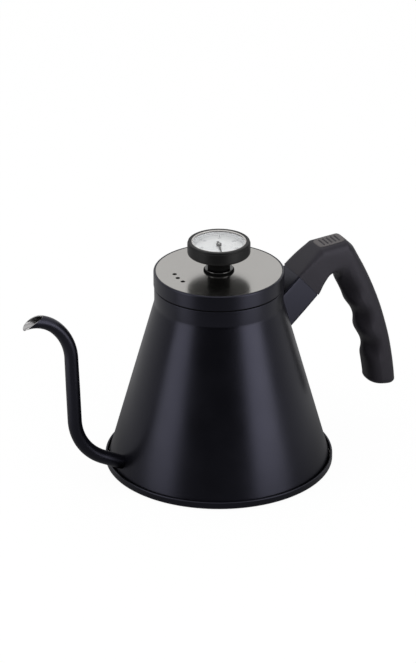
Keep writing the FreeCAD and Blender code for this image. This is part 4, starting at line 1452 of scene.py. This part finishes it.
@dataclass
class Studio:
    """White surroundings, two tall soft lamps, a soft one above, the floor and the camera.

    An edge of the room or of the floor's painted reflection is where a level changes, as the
    cosine of the turn from the camera. The ceiling's edge is a height above level. The edges of the
    painted shade by the kettle's foot, and of the painted lamp images on the floor that take over
    from the painted room reflection in front, are distances from the kettle's axis. A painted lamp
    image fades in over an edge in degrees.
    """

    azimuth: float = -25.5
    elevation: float = 26.04
    distance: float = 2.4
    aim_height: float = 0.060
    focal_pixels: float = 3662.0
    image_width: int = 416
    image_height: int = 663
    aim_pixel: Span = (218.9, 375.7)
    sensor: float = 36.0
    room_edge: Span = (-0.95, 0.3)
    room_levels: Span = (0.88, 0.0)
    ceiling_edge: Span = (0.2, 0.45)
    ceiling: float = 0.7
    floor_half: float = 4.0
    floor_gap: float = 0.0001
    floor_colour: str = "#cccccc"
    floor_white: float = 1.06
    floor_veil: float = 0.9
    # Painted reflections on the floor, which glossy rays see: levels of the painted room reflection,
    # painted shade by the kettle's foot, and where the painted lamp images begin and how softly their edges
    # fade.
    floor_edge: Span = (0.0, 0.6)
    floor_front: float = 0.38
    floor_sides: float = 0.45
    foot_edge: Span = (0.1, 0.26)
    foot_level: float = 0.5
    table_edge: Span = (0.2, 0.5)
    lamp_edge: float = 5.0
    # The last value of each lamp says whether the floor shows a painted reflection of it.
    lamps: tuple[Lamp, ...] = (
        Lamp("lamp_left", -61.0, 8.0, 1.3, 0.74, 1.3, 1.58, True),
        Lamp("lamp_right", 55.0, 8.0, 1.3, 0.80, 1.3, 2.06, True),
        Lamp("lamp_above", 180.0, 80.0, 1.4, 1.2, 1.2, 0.25, False),
    )

    def direction(self, turn: float, lift: float) -> Vector:
        """Unit vector a turn to the right of the camera and a lift above level.

        Args:
            turn: Degrees to the right of the camera.
            lift: Degrees above level.

        Returns:
            The direction.
        """
        angle = math.radians(self.azimuth + turn)
        rise = math.radians(lift)
        return Vector((math.sin(angle) * math.cos(rise), -math.cos(angle) * math.cos(rise), math.sin(rise)))

    def aim(self) -> Vector:
        """The point that the camera and the lamps are turned to."""
        return Vector((0.0, 0.0, self.aim_height))

    def camera(self) -> None:
        """Place the camera so that the aim lands on its pixel of the photograph."""
        back = self.direction(0.0, self.elevation)
        right = Vector((0.0, 0.0, 1.0)).cross(back).normalized()
        up = back.cross(right)
        across = (self.aim_pixel[0] - self.image_width / 2.0) / self.focal_pixels
        down = (self.aim_pixel[1] - self.image_height / 2.0) / self.focal_pixels
        view = (back + right * across - up * down).normalized()
        side = up.cross(view).normalized()
        data = bpy.data.cameras.new("camera")
        data.sensor_width = self.sensor
        data.lens = self.focal_pixels * self.sensor / max(self.image_width, self.image_height)
        made = link_object("camera", data)
        turn = Matrix((side, view.cross(side), view)).transposed()
        made.matrix_world = Matrix.Translation(self.aim() + back * self.distance) @ turn.to_4x4()
        bpy.context.scene.camera = made

    def light(self, lamp: Lamp) -> None:
        """Add a lamp.

        Args:
            lamp: The lamp.
        """
        data = bpy.data.lights.new(lamp.name, "AREA")
        data.shape = "RECTANGLE"
        data.size = lamp.width
        data.size_y = lamp.height
        data.energy = lamp.glow * math.pi * lamp.width * lamp.height
        made = link_object(lamp.name, data)
        direction = self.direction(lamp.turn, lamp.lift)
        made.location = self.aim() + direction * lamp.away
        made.rotation_euler = direction.to_track_quat("Z", "Y").to_euler()

    def facing(self, tree: Tree, direction: Socket, turn: float) -> Socket:
        """Cosine of the level angle between a direction and the one a turn right of the camera."""
        level = compute_vector(tree, "NORMALIZE", flattened(tree, direction))
        return compute_vector(tree, "DOT_PRODUCT", level, tuple(self.direction(turn, 0.0)))

    def surround(self, tree: Tree, direction: Socket, edge: Span, ends: Sequence[object]) -> Socket:
        """Brightness of the room in a direction: one level behind the kettle, another low at the
        camera's side, and an even ceiling.

        Args:
            tree: The node tree.
            direction: The direction, of any length.
            edge: Where the change starts and ends, as the cosine of the turn from the camera.
            ends: Brightness before the change and after it, numbers or sockets.

        Returns:
            The brightness.
        """
        low = ramp(tree, self.facing(tree, direction, 0.0), edge, ends)
        whole = compute_vector(tree, "NORMALIZE", direction)
        raised = add_node(tree, "SeparateXYZ", {0: whole}).outputs["Z"]
        return ramp(tree, raised, self.ceiling_edge, (low, self.ceiling))

    def world(self) -> None:
        """White to the camera and through glass, the room to everything else."""
        made = bpy.data.worlds.new("studio")
        tree = fresh_tree(made)
        direction = add_node(tree, "TexCoord").outputs["Generated"]
        room = self.surround(tree, direction, self.room_edge, self.room_levels)
        path = add_node(tree, "LightPath").outputs
        seen = compute(tree, "MAXIMUM", path["Is Camera Ray"], path["Is Transmission Ray"])
        glow = compute(tree, "MAXIMUM", room, seen)
        ground = add_node(tree, "Background", {"Color": WHITE, "Strength": glow})
        add_node(tree, "OutputWorld", {"Surface": ground.outputs[0]})
        bpy.context.scene.world = made

    def floor_material(self) -> bpy.types.Material:
        """A pale floor, nearly white to the camera, which shows glossy rays a painted reflection of the
        room and the lamps.

        Returns:
            The material.
        """
        made = bpy.data.materials.new("pale_floor")
        tree = fresh_tree(made)
        position = add_node(tree, "NewGeometry").outputs["Position"]
        path = add_node(tree, "LightPath").outputs
        pale = add_node(tree, "BsdfDiffuse", {"Color": linear(self.floor_colour)})
        white = add_node(tree, "Emission", {"Color": WHITE, "Strength": self.floor_white})
        shown = compute(tree, "MULTIPLY", path["Is Camera Ray"], self.floor_veil)
        plain = add_node(tree, "MixShader", {0: shown, 1: pale.outputs[0], 2: white.outputs[0]})
        # Glossy rays see an emission instead of the floor: a painted reflection of the room and the tall
        # lamps, with painted shade by the kettle's foot.
        mirrored = add_node(tree, "Emission", {"Color": WHITE, "Strength": self.mirror(tree, position)})
        both = add_node(tree, "MixShader", {
            0: path["Is Glossy Ray"], 1: plain.outputs[0], 2: mirrored.outputs[0]})
        add_node(tree, "OutputMaterial", {"Surface": both.outputs[0]})
        return made

    def mirror(self, tree: Tree, position: Socket) -> Socket:
        """Brightness of the floor's painted reflection, an emission that glossy rays see: the room,
        with painted shade near the kettle's foot, and painted images of the tall lamps further out.

        Args:
            tree: The floor's node tree.
            position: Place on the floor.

        Returns:
            The brightness.
        """
        # The painted room reflection in front fades out away from the kettle.
        away = compute_vector(tree, "LENGTH", position)
        front = ramp(tree, away, self.table_edge, (self.floor_front, 0.0))
        room = self.surround(tree, position, self.floor_edge, (self.floor_sides, front))
        # Painted shade: the painted room reflection dims near the kettle's foot.
        total = compute(tree, "MULTIPLY", room, ramp(tree, away, self.foot_edge, (self.foot_level, 1.0)))
        clear = ramp(tree, away, self.table_edge, (0.0, 1.0))
        # Painted images of the tall lamps, faded in away from the kettle.
        for lamp in self.lamps:
            if lamp.mirrored:
                half = math.degrees(math.atan(lamp.width / 2.0 / lamp.away))
                start = math.cos(math.radians(half + self.lamp_edge))
                end = math.cos(math.radians(half - self.lamp_edge))
                image = ramp(tree, self.facing(tree, position, lamp.turn), (start, end), (0.0, lamp.glow))
                total = compute(tree, "MULTIPLY_ADD", image, clear, total)
        return total

    def floor(self) -> None:
        """Lay the floor, a flat square."""
        half = self.floor_half
        corners = [(-half, -half), (half, -half), (half, half), (-half, half)]
        mesh = bpy.data.meshes.new("floor")
        mesh.from_pydata([(*corner, -self.floor_gap) for corner in corners], [], [(0, 1, 2, 3)])
        mesh.materials.append(self.floor_material())
        piece = link_object("floor", mesh)

    def build(self) -> None:
        """Set up the camera, the lamps, the surroundings and the floor."""
        bpy.context.scene.view_settings.view_transform = "Standard"
        self.camera()
        self.world()
        for lamp in self.lamps:
            self.light(lamp)
        self.floor()


def main() -> None:
    """Build the kettle, piece by piece, and the studio round it."""
    logging.basicConfig(level=logging.INFO, format="%(name)s %(message)s")
    vessel = Vessel()
    for assembly in (vessel, Spout(vessel), Lid(), Thermometer(), Handle(vessel), Studio()):
        LOG.info("building %s", type(assembly).__name__)
        assembly.build()


if __name__ == "__main__":
    main()
